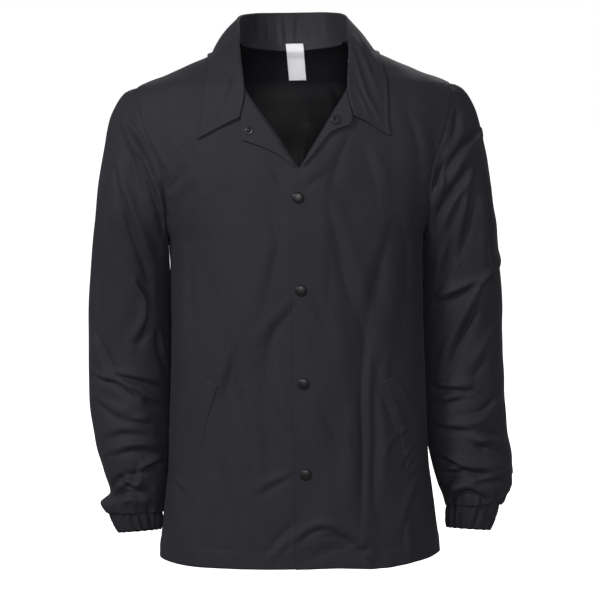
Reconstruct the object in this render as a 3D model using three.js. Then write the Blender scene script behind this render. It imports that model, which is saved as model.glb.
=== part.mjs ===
// Coach jacket in its worn form, with nobody in it: two fronts, a back, sleeves
// with gathered cuffs, a folded collar, turned-out lapel facings, pocket welts,
// snap fasteners and a bare label.
// Millimetres. +X is the wearer's left, -Y the front, +Z up. The origin is the
// middle of the neck at the height where the shoulder seams meet the collar.
import * as THREE from "three";

// Walls and gaps
const CLOTH = 1.2; // one layer of shell cloth with its seam turnings
const COLLAR_WALL = 1.5; // the two plies of the collar taken as one
const LABEL_WALL = 1.0;
const SEAM_GAP = 0.4; // between two pieces that are sewn together
const LAY_GAP = 0.5; // between a panel and a piece that lies on it
const OVERLAP_GAP = 0.8; // between the two fronts where they are snapped shut

// Main heights, measured down from the origin
const TIP_DOWN = 58; // end of the shoulder seam
const UNDERARM_DOWN = 272;
const HEM_DOWN = 722;
const BACK_NECK_DROP = 8;

// Sections of the body: half width, depth to the front and to the back, and
// how square the section is (2 is an ellipse)
const BODY = [
  { down: 0, half: 80, front: 60, back: 66, square: 2 },
  { down: 20, half: 128, front: 67, back: 84, square: 2 },
  { down: 40, half: 176, front: 77, back: 96, square: 2 },
  { down: 58, half: 220, front: 87, back: 104, square: 2 },
  { down: 75, half: 238, front: 94, back: 108, square: 2 },
  { down: 97, half: 250, front: 102, back: 112, square: 2 },
  { down: 130, half: 254, front: 110, back: 115, square: 2 },
  { down: 160, half: 248, front: 115, back: 117, square: 2 },
  { down: 191, half: 234, front: 119, back: 117, square: 2 },
  { down: 229, half: 209, front: 121, back: 116, square: 2.1 },
  { down: 250, half: 193, front: 122, back: 115, square: 2.22 },
  { down: 272, half: 180, front: 122, back: 114, square: 2.36 },
  { down: 310, half: 178.5, front: 121.5, back: 111, square: 2.4 },
  { down: 364, half: 178.5, front: 121, back: 109, square: 2.4 },
  { down: 470, half: 181, front: 119, back: 107, square: 2.4 },
  { down: 587, half: 184.5, front: 119, back: 109, square: 2.4 },
  { down: 640, half: 190.5, front: 120, back: 111, square: 2.4 },
  { down: 722, half: 200, front: 121, back: 114, square: 2.4 },
];

// Edge of each front towards the middle: neck seam, roll line, then the edge
// that is snapped shut. The wearer's left front lies over the right one.
const FRONT_EDGE = [
  { down: 0, over: 80, under: 80 },
  { down: 14, over: 79.5, under: 79.5 },
  { down: 34, over: 78, under: 78 },
  { down: 52, over: 73.5, under: 73 },
  { down: 64, over: 69, under: 68 },
  { down: 90, over: 52.5, under: 51 },
  { down: 130, over: 27, under: 24 },
  { down: 162, over: 7, under: 4 },
  { down: 170, over: 2, under: -1.5 },
  { down: 178, over: 0, under: -5 },
  { down: 190, over: -4.5, under: -10 },
  { down: 206, over: -9, under: -15 },
  { down: 222, over: -11, under: -17 },
  { down: 722, over: -11, under: -17 },
];

// Back neck seam from the shoulder seam to the middle of the back
const BACK_NECK = [
  { down: 0, x: 80 },
  { down: 2, x: 74 },
  { down: 4, x: 63 },
  { down: 6, x: 46 },
  { down: 7.4, x: 24 },
  { down: 8, x: 0 },
];

// Armhole seam seen from the front and from the back
const ARMHOLE = [
  { down: 58, front: 220, back: 220 },
  { down: 80, front: 218, back: 218.5 },
  { down: 104, front: 212, back: 213.5 },
  { down: 128, front: 204, back: 207 },
  { down: 150, front: 195, back: 200.5 },
  { down: 170, front: 188, back: 195 },
  { down: 190, front: 184.3, back: 191 },
  { down: 206, front: 183, back: 188 },
  { down: 222, front: 182.3, back: 185.5 },
  { down: 240, front: 181.8, back: 183.5 },
  { down: 256, front: 181.3, back: 182 },
  { down: 272, front: 180, back: 180 },
];

// Sections of the sleeves: outer and inner side of each as seen from the
// front, how far behind the body's middle they hang, and half their depth
const SLEEVE = [
  { down: 58, leftOut: 218.5, rightOut: 218.5, leftIn: 183, rightIn: 183, behind: 0, deep: 60 },
  { down: 65, leftOut: 235, rightOut: 235, leftIn: 183, rightIn: 183, behind: 0, deep: 62 },
  { down: 85, leftOut: 250, rightOut: 250, leftIn: 183, rightIn: 183, behind: 0, deep: 65 },
  { down: 101, leftOut: 257.5, rightOut: 257.5, leftIn: 183, rightIn: 183, behind: 0, deep: 67 },
  { down: 133, leftOut: 265.5, rightOut: 265.5, leftIn: 183, rightIn: 183, behind: 0, deep: 73 },
  { down: 168, leftOut: 273, rightOut: 273, leftIn: 183, rightIn: 183, behind: 1, deep: 74 },
  { down: 220, leftOut: 280.5, rightOut: 280.5, leftIn: 182, rightIn: 182, behind: 5, deep: 73 },
  { down: 270, leftOut: 289.5, rightOut: 287.5, leftIn: 180.8, rightIn: 180.8, behind: 13, deep: 70 },
  { down: 358, leftOut: 295, rightOut: 295, leftIn: 178.7, rightIn: 178.7, behind: 23, deep: 65 },
  { down: 430, leftOut: 298, rightOut: 299, leftIn: 179.3, rightIn: 179.3, behind: 28, deep: 62 },
  { down: 507, leftOut: 299, rightOut: 298, leftIn: 181.5, rightIn: 181.5, behind: 26, deep: 59 },
  { down: 560, leftOut: 302, rightOut: 293, leftIn: 184.3, rightIn: 183.4, behind: 22, deep: 56 },
  { down: 602, leftOut: 309, rightOut: 282, leftIn: 191.5, rightIn: 186.4, behind: 18, deep: 52 },
  { down: 634, leftOut: 308, rightOut: 272, leftIn: 200, rightIn: 190.6, behind: 14, deep: 47 },
  { down: 649, leftOut: 301, rightOut: 286, leftIn: 206, rightIn: 192.6, behind: 13, deep: 42 },
  { down: 664, leftOut: 290, rightOut: 277, leftIn: 211, rightIn: 195.2, behind: 12, deep: 37 },
];

// Gathered cuffs: middle and half width at the top and bottom, and how much
// lower the outer side of the bottom hangs than the inner
const CUFFS = [
  { side: "left", top: 664, bottom: 700, topX: 250, bottomX: 243, topHalf: 37.5, bottomHalf: 31, tilt: 3 },
  { side: "right", top: 664, bottom: 692, topX: 236.2, bottomX: 230.6, topHalf: 37.5, bottomHalf: 29.8, tilt: 2 },
];
const CUFF_GATHERS = 17;
const CUFF_GATHER_DEPTH = 1.7;
const CUFF_BEHIND = 12;
// The forearms point forward a little, which lifts the front of their ends
const SLEEVE_END_RAISE = 5;
const CUFF_END_RAISE = 9;

// Collar: seam to the neck, top of the fold and outer edge, from the middle of
// the back round to the front
const COLLAR = [
  { seamX: 0, seamY: 69, seamZ: -7, foldX: 0, foldY: 80, foldZ: 44, edgeX: 0, edgeY: 97, edgeZ: -24 },
  { seamX: 24, seamY: 66.5, seamZ: -6.4, foldX: 26, foldY: 78, foldZ: 44, edgeX: 38, edgeY: 94, edgeZ: -25 },
  { seamX: 58, seamY: 47, seamZ: -3, foldX: 55, foldY: 60, foldZ: 43, edgeX: 79, edgeY: 74, edgeZ: -25 },
  { seamX: 79, seamY: 4, seamZ: 1, foldX: 75, foldY: 18, foldZ: 37, edgeX: 113, edgeY: 20, edgeZ: -14 },
  { seamX: 79.5, seamY: -38, seamZ: -9, foldX: 76, foldY: -18, foldZ: 17, edgeX: 119, edgeY: -46, edgeZ: -29 },
  { seamX: 78, seamY: -64, seamZ: -32, foldX: 75, foldY: -50, foldZ: -14, edgeX: 125, edgeY: -73, edgeZ: -61 },
];
// On from there the collar lies on the fronts, where x and down are enough, and
// its seam turning is tucked under the fold
const COLLAR_FRONT = [
  { foldX: 71.5, foldDown: 66, edgeX: 130, edgeDown: 102 },
  { foldX: 79, foldDown: 103, edgeX: 136, edgeDown: 130 },
];
const COLLAR_FOLD = 2.3; // radius of the fold, on its outside
const COLLAR_TUCK = 7; // seam turning under the fold at the front
const COLLAR_CLEAR = 1; // between the collar and the panels under it

// Lapel facings turned out on the fronts: the roll line, the top edge along the
// collar, and the free edge, as x and down
const LAPELS = [
  {
    side: "left",
    roll: [[68, 66], [48, 100], [27, 133], [7.5, 163]],
    top: [[68, 66], [75, 102], [71, 114]],
    edge: [[71, 114], [44, 124], [24, 148], [3.5, 169.5]],
  },
  {
    side: "right",
    roll: [[67, 66], [46, 100], [24.5, 133], [5.5, 162]],
    top: [[67, 66], [75, 103], [76, 131]],
    edge: [[76, 131], [43, 143], [15, 159], [4.6, 170]],
  },
];

// Pocket welts: the two ends of the opening edge and of the sewn edge
const WELT = { open: [[132, 459], [157, 520], [171, 596]], sewn: [[113, 465], [133, 527], [147, 600]] };

// Snaps down the front edge, and the open pair on the lapels
const SNAPS = [
  { down: 210, x: -0.7 },
  { down: 336, x: 1.4 },
  { down: 464, x: 3.2 },
  { down: 590, x: 4.2 },
];
const SNAP_ROUND = 7.9; // radius of the cap
const LAPEL_SOCKET = { x: 53, down: 106, rise: 4.4 };
const LAPEL_STUD = { x: 66, down: 119, rise: 5.3 };

const LABEL = { left: -10, wide: 25, top: 9, tall: 52, lean: 0.07 };

// Largest folds of the fronts and back, as a soft trough from one point to
// another with its depth and half width; a negative depth is a ridge
const FRONT_FOLDS = [
  { x1: 44, down1: 262, x2: 36, down2: 400, deep: 2.6, wide: 17 },
  { x1: 100, down1: 340, x2: 78, down2: 470, deep: 4.2, wide: 20 },
  { x1: 78, down1: 470, x2: 108, down2: 668, deep: 4.4, wide: 22 },
  { x1: 66, down1: 520, x2: 62, down2: 640, deep: -2.6, wide: 20 },
  { x1: 10, down1: 706, x2: 60, down2: 690, deep: 3.0, wide: 15 },
  { x1: -34, down1: 380, x2: -52, down2: 480, deep: 3.0, wide: 18 },
  { x1: -52, down1: 480, x2: -30, down2: 580, deep: 2.6, wide: 18 },
  { x1: -92, down1: 440, x2: -112, down2: 560, deep: 3.2, wide: 20 },
  { x1: -112, down1: 560, x2: -96, down2: 690, deep: 3.0, wide: 22 },
];
const BACK_FOLDS = [
  { x1: -60, down1: 150, x2: -84, down2: 420, deep: 3.4, wide: 22 },
  { x1: 58, down1: 170, x2: 92, down2: 430, deep: 3.4, wide: 22 },
  { x1: -20, down1: 330, x2: -46, down2: 640, deep: 4.0, wide: 24 },
  { x1: 34, down1: 360, x2: 28, down2: 660, deep: 4.0, wide: 24 },
  { x1: 112, down1: 470, x2: 104, down2: 680, deep: 3.2, wide: 22 },
  { x1: -118, down1: 450, x2: -108, down2: 670, deep: 3.2, wide: 22 },
];

// Largest folds of the sleeves, on the front (back: false) or the back
const LEFT_SLEEVE_FOLDS = [
  { x1: 274, down1: 310, x2: 236, down2: 450, deep: 4.5, wide: 17, back: false },
  { x1: 208, down1: 480, x2: 262, down2: 492, deep: 4.5, wide: 15, back: false },
  { x1: 214, down1: 596, x2: 290, down2: 600, deep: 5.0, wide: 15, back: false },
  { x1: 222, down1: 640, x2: 282, down2: 622, deep: 3.5, wide: 12, back: false },
  { x1: 284, down1: 380, x2: 208, down2: 430, deep: 4.5, wide: 18, back: true },
  { x1: 290, down1: 520, x2: 212, down2: 560, deep: 4.5, wide: 18, back: true },
];
const RIGHT_SLEEVE_FOLDS = [
  { x1: 208, down1: 350, x2: 232, down2: 424, deep: 4.0, wide: 17, back: false },
  { x1: 286, down1: 470, x2: 214, down2: 498, deep: 4.8, wide: 15, back: false },
  { x1: 268, down1: 590, x2: 212, down2: 596, deep: 4.5, wide: 15, back: false },
  { x1: 262, down1: 642, x2: 218, down2: 612, deep: 4.0, wide: 12, back: false },
  { x1: 286, down1: 400, x2: 210, down2: 440, deep: 4.5, wide: 18, back: true },
  { x1: 284, down1: 540, x2: 210, down2: 560, deep: 4.5, wide: 18, back: true },
];

// Heights of the rows of points on the panels
const SHOULDER_ROWS = [0.3, 3, 8, 15, 25, 36, 47];
const BACK_TOP_ROWS = [0.3, 2, 4, 6, 7.4, 8, 15, 25, 36, 47];
const ARMHOLE_ROWS = [58, 60.5, 64, 72, 86, 104, 126, 148, 170, 190, 206, 222, 240, 256, 267, 272];
const LOWER_ROWS = [305, 355, 410, 465, 520, 575, 625, 675, 722];
const PANEL_COLUMNS = 10;

const mix = (a, b, t) => a + (b - a) * t;

function ease(t) {
  const c = Math.min(Math.max(t, 0), 1);
  return c * c * (3 - 2 * c);
}

// Smooth curve through one column of a table, without overshoot
function read(table, key, place, column) {
  let i = table.length - 2;
  while (i > 0 && place < table[i][key]) i -= 1;
  const rise = (k) => (table[k + 1][column] - table[k][column]) / (table[k + 1][key] - table[k][key]);
  const slope = (k) => {
    if (k === 0) return rise(0);
    if (k === table.length - 1) return rise(k - 1);
    const before = rise(k - 1);
    const after = rise(k);
    return before * after <= 0 ? 0 : (2 * before * after) / (before + after);
  };
  const step = table[i + 1][key] - table[i][key];
  const t = Math.min(Math.max((place - table[i][key]) / step, 0), 1);
  const a = 2 * t * t * t - 3 * t * t + 1;
  const b = t * t * t - 2 * t * t + t;
  const c = t * t * t - t * t;
  const held = a * table[i][column] + (1 - a) * table[i + 1][column];
  return held + step * (b * slope(i) + c * slope(i + 1));
}

// Depth of the folds at a place: each trough is deepest along its line and
// fades towards both ends
function foldsAt(folds, x, down) {
  let total = 0;
  for (const fold of folds) {
    const runX = fold.x2 - fold.x1;
    const runDown = fold.down2 - fold.down1;
    const along = ((x - fold.x1) * runX + (down - fold.down1) * runDown) / (runX * runX + runDown * runDown);
    const t = Math.min(Math.max(along, 0), 1);
    const away = Math.hypot(x - fold.x1 - t * runX, down - fold.down1 - t * runDown) / fold.wide;
    total -= fold.deep * Math.exp(-away * away) * (0.35 + 0.65 * Math.sin(Math.PI * t));
  }
  return total;
}

// Body form. The turn is 0 at the middle front, a quarter turn at the wearer's
// left side and half a turn at the middle back.
function bodyPoint(turn, down) {
  const square = read(BODY, "down", down, "square");
  const depth = read(BODY, "down", down, Math.cos(turn) > 0 ? "front" : "back");
  const reach = (Math.abs(Math.sin(turn)) ** square + Math.abs(Math.cos(turn)) ** square) ** (-1 / square);
  const x = read(BODY, "down", down, "half") * Math.sin(turn) * reach;
  return new THREE.Vector3(x, -depth * Math.cos(turn) * reach, -down);
}

function bodySpot(turn, down, lift = 0) {
  const low = Math.max(down - 0.4, 0);
  const across = bodyPoint(turn + 0.002, down).sub(bodyPoint(turn - 0.002, down));
  const along = bodyPoint(turn, down + 0.4).sub(bodyPoint(turn, low));
  const out = along.cross(across).normalize();
  const point = bodyPoint(turn, down);
  const ahead = Math.cos(turn) > 0;
  // The folds die away at the side seams, and on the fronts towards the snaps
  const fromSide = Math.min(Math.abs(Math.cos(turn)) * 3, 1);
  const fromSnaps = ahead ? ease((Math.abs(point.x) - 16) / 26) : 1;
  const folds = foldsAt(ahead ? FRONT_FOLDS : BACK_FOLDS, point.x, down) * fromSide * fromSnaps;
  return { point: point.addScaledVector(out, lift + folds), out };
}

function turnAt(x, down) {
  const square = read(BODY, "down", down, "square");
  const share = Math.min((Math.abs(x) / read(BODY, "down", down, "half")) ** square, 1);
  return Math.sign(x) * Math.atan2(share ** (1 / square), (1 - share) ** (1 / square));
}

// The left front rises over the right one where the two lie on each other
function overlapLift(x, down) {
  return (CLOTH + OVERLAP_GAP) * ease((70 - x) / 46) * ease((down - 128) / 34);
}

// A closed wall from one or more grids of spots: the grids are the outside, and
// the inside lies one wall further in
function wallFrom(grids, wall) {
  const outer = [];
  const outs = [];
  const known = new Map();
  const faces = [];
  const number = (spot) => {
    const label = spot.point.toArray().map((v) => Math.round(v * 1000)).join();
    if (!known.has(label)) {
      known.set(label, outer.length);
      outer.push(spot.point);
      outs.push(spot.out);
    }
    return known.get(label);
  };
  for (const grid of grids) {
    const ids = grid.map((row) => row.map(number));
    const patch = [];
    let facing = 0;
    for (let i = 0; i + 1 < ids.length; i += 1) {
      for (let j = 0; j + 1 < ids[i].length; j += 1) {
        const [a, b, c, d] = [ids[i][j], ids[i + 1][j], ids[i + 1][j + 1], ids[i][j + 1]];
        for (const face of [[a, b, c], [a, c, d]]) {
          if (new Set(face).size < 3) continue;
          const [p, q, r] = face.map((k) => outer[k]);
          facing += q.clone().sub(p).cross(r.clone().sub(p)).dot(outs[face[0]]);
          patch.push(face);
        }
      }
    }
    for (const face of patch) faces.push(facing > 0 ? face : [face[0], face[2], face[1]]);
  }
  const count = outer.length;
  const points = [...outer, ...outer.map((p, i) => p.clone().addScaledVector(outs[i], -wall))];
  const index = [];
  const edges = new Set(faces.flatMap(([a, b, c]) => [`${a},${b}`, `${b},${c}`, `${c},${a}`]));
  for (const [a, b, c] of faces) {
    index.push(a, b, c, c + count, b + count, a + count);
    for (const [from, to] of [[a, b], [b, c], [c, a]]) {
      if (edges.has(`${to},${from}`)) continue;
      index.push(to, from, from + count, to, from + count, to + count);
    }
  }
  const geometry = new THREE.BufferGeometry();
  geometry.setAttribute("position", new THREE.Float32BufferAttribute(points.flatMap((p) => p.toArray()), 3));
  geometry.setIndex(index);
  geometry.computeVertexNormals();
  return geometry;
}

// Grid of spots whose outward direction is found from the neighbouring points
function gridWithOuts(points, closed = false) {
  return points.map((row, i) => row.map((point, j) => {
    const last = row.length - 1;
    const back = closed && j === 0 ? row[last - 1] : row[Math.max(j - 1, 0)];
    const ahead = closed && j === last ? row[1] : row[Math.min(j + 1, last)];
    const above = points[Math.max(i - 1, 0)][j];
    const below = points[Math.min(i + 1, points.length - 1)][j];
    const out = below.clone().sub(above).cross(ahead.clone().sub(back)).normalize();
    return { point, out };
  }));
}

function mirrored(grid) {
  const flip = (v) => new THREE.Vector3(-v.x, v.y, v.z);
  return grid.map((row) => row.map(({ point, out }) => ({ point: flip(point), out: flip(out) })));
}

// Half a seam gap at the side and shoulder seams, as a turn
const seamTurn = (down) => SEAM_GAP / 2 / read(BODY, "down", down, "front");

// Fronts: every row of points runs level from the neck seam, roll line or front
// edge to the shoulder seam, armhole or side seam
const FRONT_ROWS = [...SHOULDER_ROWS, ...ARMHOLE_ROWS, ...LOWER_ROWS];

function frontGrid(side) {
  const column = side > 0 ? "over" : "under";
  return FRONT_ROWS.map((down) => {
    const near = turnAt(read(FRONT_EDGE, "down", down, column), down);
    const inArmhole = down > TIP_DOWN && down < UNDERARM_DOWN;
    const far = inArmhole
      ? turnAt(read(ARMHOLE, "down", down, "front"), down)
      : Math.PI / 2 - seamTurn(down);
    return Array.from({ length: PANEL_COLUMNS + 1 }, (_, j) => {
      const turn = mix(near, far, j / PANEL_COLUMNS);
      const x = bodyPoint(turn, down).x;
      const over = side > 0 ? overlapLift(x, down) : 0;
      return bodySpot(side * turn, down, over);
    });
  });
}

const FRONTS = { left: frontGrid(1), right: frontGrid(-1) };

// Spot on or above the flat facets of a front, so that what lies on it follows
// it closely; x is counted from the middle towards the side of that front
function frontSpot(side, x, down, lift = 0) {
  const rows = side > 0 ? FRONTS.left : FRONTS.right;
  let i = FRONT_ROWS.length - 2;
  while (i > 0 && down < FRONT_ROWS[i]) i -= 1;
  const onRow = (row) => {
    let j = 0;
    while (j < row.length - 2 && side * row[j + 1].point.x < x) j += 1;
    const share = (x - side * row[j].point.x) / (side * (row[j + 1].point.x - row[j].point.x));
    return row[j].point.clone().lerp(row[j + 1].point, share);
  };
  const share = (down - FRONT_ROWS[i]) / (FRONT_ROWS[i + 1] - FRONT_ROWS[i]);
  const out = bodySpot(side * turnAt(x, down), down).out;
  const point = onRow(rows[i]).lerp(onRow(rows[i + 1]), share);
  return { point: point.addScaledVector(out, lift), out };
}

// Back: one piece, made as two halves that share the middle line
function back() {
  const half = [...BACK_TOP_ROWS, ...ARMHOLE_ROWS, ...LOWER_ROWS].map((down) => {
    const near = down < BACK_NECK_DROP ? turnAt(read(BACK_NECK, "down", down, "x"), down) : 0;
    const inArmhole = down > TIP_DOWN && down < UNDERARM_DOWN;
    const far = inArmhole
      ? turnAt(read(ARMHOLE, "down", down, "back"), down)
      : Math.PI / 2 - seamTurn(down);
    return Array.from({ length: PANEL_COLUMNS + 1 }, (_, j) => mix(near, far, j / PANEL_COLUMNS));
  });
  const downs = [...BACK_TOP_ROWS, ...ARMHOLE_ROWS, ...LOWER_ROWS];
  const left = half.map((row, i) => row.map((turn) => bodySpot(Math.PI - turn, downs[i])));
  const right = half.map((row, i) => row.map((turn) => bodySpot(Math.PI + turn, downs[i])));
  return wallFrom([left, right], CLOTH);
}

// Sleeve tube. Round is 0 at the outer side, a quarter turn at the front and
// half a turn at the side next to the body.
const ARM_MIDDLE = (TIP_DOWN + UNDERARM_DOWN) / 2;
const ARM_REACH = (UNDERARM_DOWN - TIP_DOWN) / 2;
const SLEEVE_FADE = 0.24; // share of the sleeve that leads over from the armhole

function sleeveRing(side, round, down) {
  const outer = read(SLEEVE, "down", down, side > 0 ? "leftOut" : "rightOut");
  const inner = read(SLEEVE, "down", down, side > 0 ? "leftIn" : "rightIn");
  const x = (outer + inner) / 2 + ((outer - inner) / 2) * Math.cos(round);
  const y = read(SLEEVE, "down", down, "behind") - read(SLEEVE, "down", down, "deep") * Math.sin(round);
  return new THREE.Vector3(x, y, -down);
}

function armholeSpot(round) {
  const down = ARM_MIDDLE - ARM_REACH * Math.cos(round);
  const ahead = Math.sin(round) >= 0;
  const turn = turnAt(read(ARMHOLE, "down", down, ahead ? "front" : "back"), down);
  return bodySpot(ahead ? turn : Math.PI - turn, down);
}

function sleevePoint(side, round, share, end) {
  const top = ARM_MIDDLE - ARM_REACH * Math.cos(round);
  const down = mix(top, end - SLEEVE_END_RAISE * Math.sin(round), share);
  const seam = armholeSpot(round).point;
  seam.x += SEAM_GAP * (0.5 - 0.5 * Math.cos(round));
  const lead = 1 - ease(share / SLEEVE_FADE);
  const point = sleeveRing(side, round, down);
  point.addScaledVector(seam.sub(sleeveRing(side, round, top)), lead);
  const folds = foldsAt(
    (side > 0 ? LEFT_SLEEVE_FOLDS : RIGHT_SLEEVE_FOLDS).filter((fold) => fold.back === Math.sin(round) < 0),
    point.x,
    down,
  );
  point.y -= folds * Math.sin(round) * (1 - lead);
  return point;
}

const SLEEVE_ROWS = [0, 0.012, 0.035, 0.065, 0.1, 0.14, 0.185, 0.235, 0.29, 0.35, 0.41, 0.47, 0.53, 0.59,
  0.65, 0.71, 0.77, 0.825, 0.87, 0.915, 0.96, 1];

function sleeve(side) {
  const cuff = CUFFS.find((row) => row.side === (side > 0 ? "left" : "right"));
  const end = cuff.top - SEAM_GAP;
  const forward = ARMHOLE_ROWS.map((down) => Math.acos(Math.min(Math.max((ARM_MIDDLE - down) / ARM_REACH, -1), 1)));
  const rounds = [...forward, ...forward.slice(0, -1).reverse().map((round) => 2 * Math.PI - round)];
  const grid = SLEEVE_ROWS.map((share) => rounds.map((round) => {
    const point = sleevePoint(side, round, share, end);
    const across = sleevePoint(side, round + 0.01, share, end).sub(sleevePoint(side, round - 0.01, share, end));
    const low = sleevePoint(side, round, Math.min(share + 0.004, 1), end);
    const along = low.sub(sleevePoint(side, round, Math.max(share - 0.004, 0), end));
    const out = across.clone().cross(along).normalize();
    if (share === 0) {
      point.addScaledVector(along.normalize(), SEAM_GAP);
      const bodyOut = armholeSpot(round).out;
      const together = ease((bodyOut.dot(out) + 0.3) / 0.6);
      out.lerp(bodyOut.clone().add(out).normalize(), together).normalize();
    }
    return { point, out };
  }));
  for (const row of grid) row[row.length - 1] = row[0];
  return wallFrom([side > 0 ? grid : mirrored(grid)], CLOTH);
}

function cuff({ side, top, bottom, topX, bottomX, topHalf, bottomHalf, tilt }) {
  const columns = CUFF_GATHERS * 4;
  const points = [0, 0.34, 0.67, 1].map((share) => Array.from({ length: columns + 1 }, (_, j) => {
    const round = (2 * Math.PI * (j % columns)) / columns;
    const gather = CUFF_GATHER_DEPTH * Math.sin(CUFF_GATHERS * round) * (0.55 + 0.45 * Math.sin(Math.PI * share));
    const swell = 2.2 * Math.sin(Math.PI * share);
    const half = mix(topHalf, bottomHalf, share) + gather + swell;
    const raise = mix(SLEEVE_END_RAISE, CUFF_END_RAISE, share);
    const down = mix(top, bottom, share) + tilt * share * Math.cos(round) - raise * Math.sin(round);
    const x = mix(topX, bottomX, share) + half * Math.cos(round);
    return new THREE.Vector3(x, CUFF_BEHIND - half * 0.93 * Math.sin(round), -down);
  }));
  const grid = gridWithOuts(points, true).map((row) => row.map(({ point, out }) => ({ point, out: out.negate() })));
  for (const row of grid) row[row.length - 1] = row[0];
  return wallFrom([side === "left" ? grid : mirrored(grid)], CLOTH);
}

// Keeps a point of the collar at least the given lift outside the body form
function liftedClear(point, lift) {
  const outside = (p) => {
    const down = Math.min(Math.max(-p.z, 0), HEM_DOWN);
    const square = read(BODY, "down", down, "square");
    const depth = read(BODY, "down", down, p.y < 0 ? "front" : "back");
    const half = read(BODY, "down", down, "half");
    return ((Math.abs(p.x) / half) ** square + (Math.abs(p.y) / depth) ** square) ** (1 / square) - 1;
  };
  for (let turn = 0; turn < 4; turn += 1) {
    if (point.z > 0) return point;
    const here = outside(point);
    const slope = new THREE.Vector3(
      outside(point.clone().add(new THREE.Vector3(0.1, 0, 0))) - here,
      outside(point.clone().add(new THREE.Vector3(0, 0.1, 0))) - here,
      outside(point.clone().add(new THREE.Vector3(0, 0, 0.1))) - here,
    ).multiplyScalar(10);
    const away = here / slope.length();
    if (away >= lift) return point;
    point.addScaledVector(slope.normalize(), lift - away);
  }
  return point;
}

// One section of the collar: up the stand, over the fold and down the fall. The
// listed side is the one that shows: the stand's neck side, the fall's outside.
function collarSection(seam, fold, edge, along) {
  const up = fold.clone().sub(seam).normalize();
  const sideways = up.clone().cross(along).normalize();
  if (sideways.dot(edge.clone().sub(fold)) < 0) sideways.negate();
  const inner = fold.clone().addScaledVector(sideways, -COLLAR_FOLD);
  const outer = fold.clone().addScaledVector(sideways, COLLAR_FOLD);
  const section = [seam, liftedClear(seam.clone().lerp(inner, 0.5), COLLAR_CLEAR)];
  for (let k = 0; k <= 5; k += 1) {
    const swing = (Math.PI * k) / 5;
    const point = fold.clone().addScaledVector(sideways, -COLLAR_FOLD * Math.cos(swing));
    section.push(point.addScaledVector(up, COLLAR_FOLD * Math.sin(swing)));
  }
  const stand = fold.distanceTo(seam);
  for (const t of [0.2, 0.42, 0.64, 0.84, 1]) {
    const point = outer.clone().lerp(edge, t);
    const bulge = up.clone().add(sideways).normalize();
    point.addScaledVector(bulge, 0.12 * Math.max(stand - COLLAR_TUCK, 0) * Math.sin(Math.PI * t));
    section.push(liftedClear(point, COLLAR_WALL + COLLAR_CLEAR + 0.8));
  }
  return section;
}

function collarSections() {
  const stations = COLLAR.map((row) => ({
    seam: new THREE.Vector3(row.seamX, row.seamY, row.seamZ),
    fold: new THREE.Vector3(row.foldX, row.foldY, row.foldZ),
    edge: new THREE.Vector3(row.edgeX, row.edgeY, row.edgeZ),
  }));
  for (const row of COLLAR_FRONT) {
    const fold = frontSpot(1, row.foldX, row.foldDown);
    const edge = frontSpot(1, row.edgeX, row.edgeDown, COLLAR_WALL + COLLAR_CLEAR + 0.8);
    const away = edge.point.clone().sub(fold.point);
    away.addScaledVector(fold.out, -away.dot(fold.out)).normalize();
    const seam = frontSpot(1, row.foldX + COLLAR_TUCK * away.x, row.foldDown - COLLAR_TUCK * away.z, COLLAR_CLEAR);
    const middle = fold.point.clone().addScaledVector(fold.out, COLLAR_CLEAR + COLLAR_FOLD);
    stations.push({ seam: seam.point, fold: middle, edge: edge.point });
  }
  const last = stations.length - 1;
  const at = (name, place) => curveThrough(stations.map((station) => station[name]), place);
  const sections = [];
  for (let i = 0; i <= last; i += 1) {
    const steps = i === last ? 1 : i < 3 ? 2 : 3;
    for (let k = 0; k < steps; k += 1) {
      const place = i + k / steps;
      const ahead = at("fold", Math.min(place + 0.1, last));
      const along = ahead.sub(at("fold", Math.max(place - 0.1, 0))).normalize();
      if (place === 0) along.set(1, 0, 0);
      const seam = liftedClear(at("seam", place), COLLAR_CLEAR);
      const fold = liftedClear(at("fold", place), COLLAR_CLEAR + COLLAR_FOLD);
      sections.push(collarSection(seam, fold, at("edge", place), along));
    }
  }
  return sections;
}

// Point on a smooth curve through a list of points, by whole and part steps
function curveThrough(points, place) {
  const last = points.length - 1;
  const i = Math.min(Math.floor(place), last - 1);
  const t = place - i;
  const before = i > 0 ? points[i - 1] : points[1].clone().multiply(new THREE.Vector3(-1, 1, 1));
  const after = i + 2 <= last ? points[i + 2] : points[last].clone().multiplyScalar(2).sub(points[last - 1]);
  const a = points[i];
  const b = points[i + 1];
  const value = (m0, p0, p1, m1) => 0.5 * ((2 * p0) + (p1 - m0) * t + (2 * m0 - 5 * p0 + 4 * p1 - m1) * t * t
    + (3 * p0 - m0 - 3 * p1 + m1) * t * t * t);
  return new THREE.Vector3(
    value(before.x, a.x, b.x, after.x),
    value(before.y, a.y, b.y, after.y),
    value(before.z, a.z, b.z, after.z),
  );
}

function collar() {
  const half = gridWithOuts(collarSections());
  const toNeck = new THREE.Vector3(0, -1, 0);
  const flip = half[0][1].out.dot(toNeck) < 0;
  for (const row of half) for (const spot of row) if (flip) spot.out.negate();
  for (const spot of half[0]) {
    spot.out.x = 0;
    spot.out.normalize();
    spot.point.x = 0;
  }
  return wallFrom([half, mirrored(half)], COLLAR_WALL);
}

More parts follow.
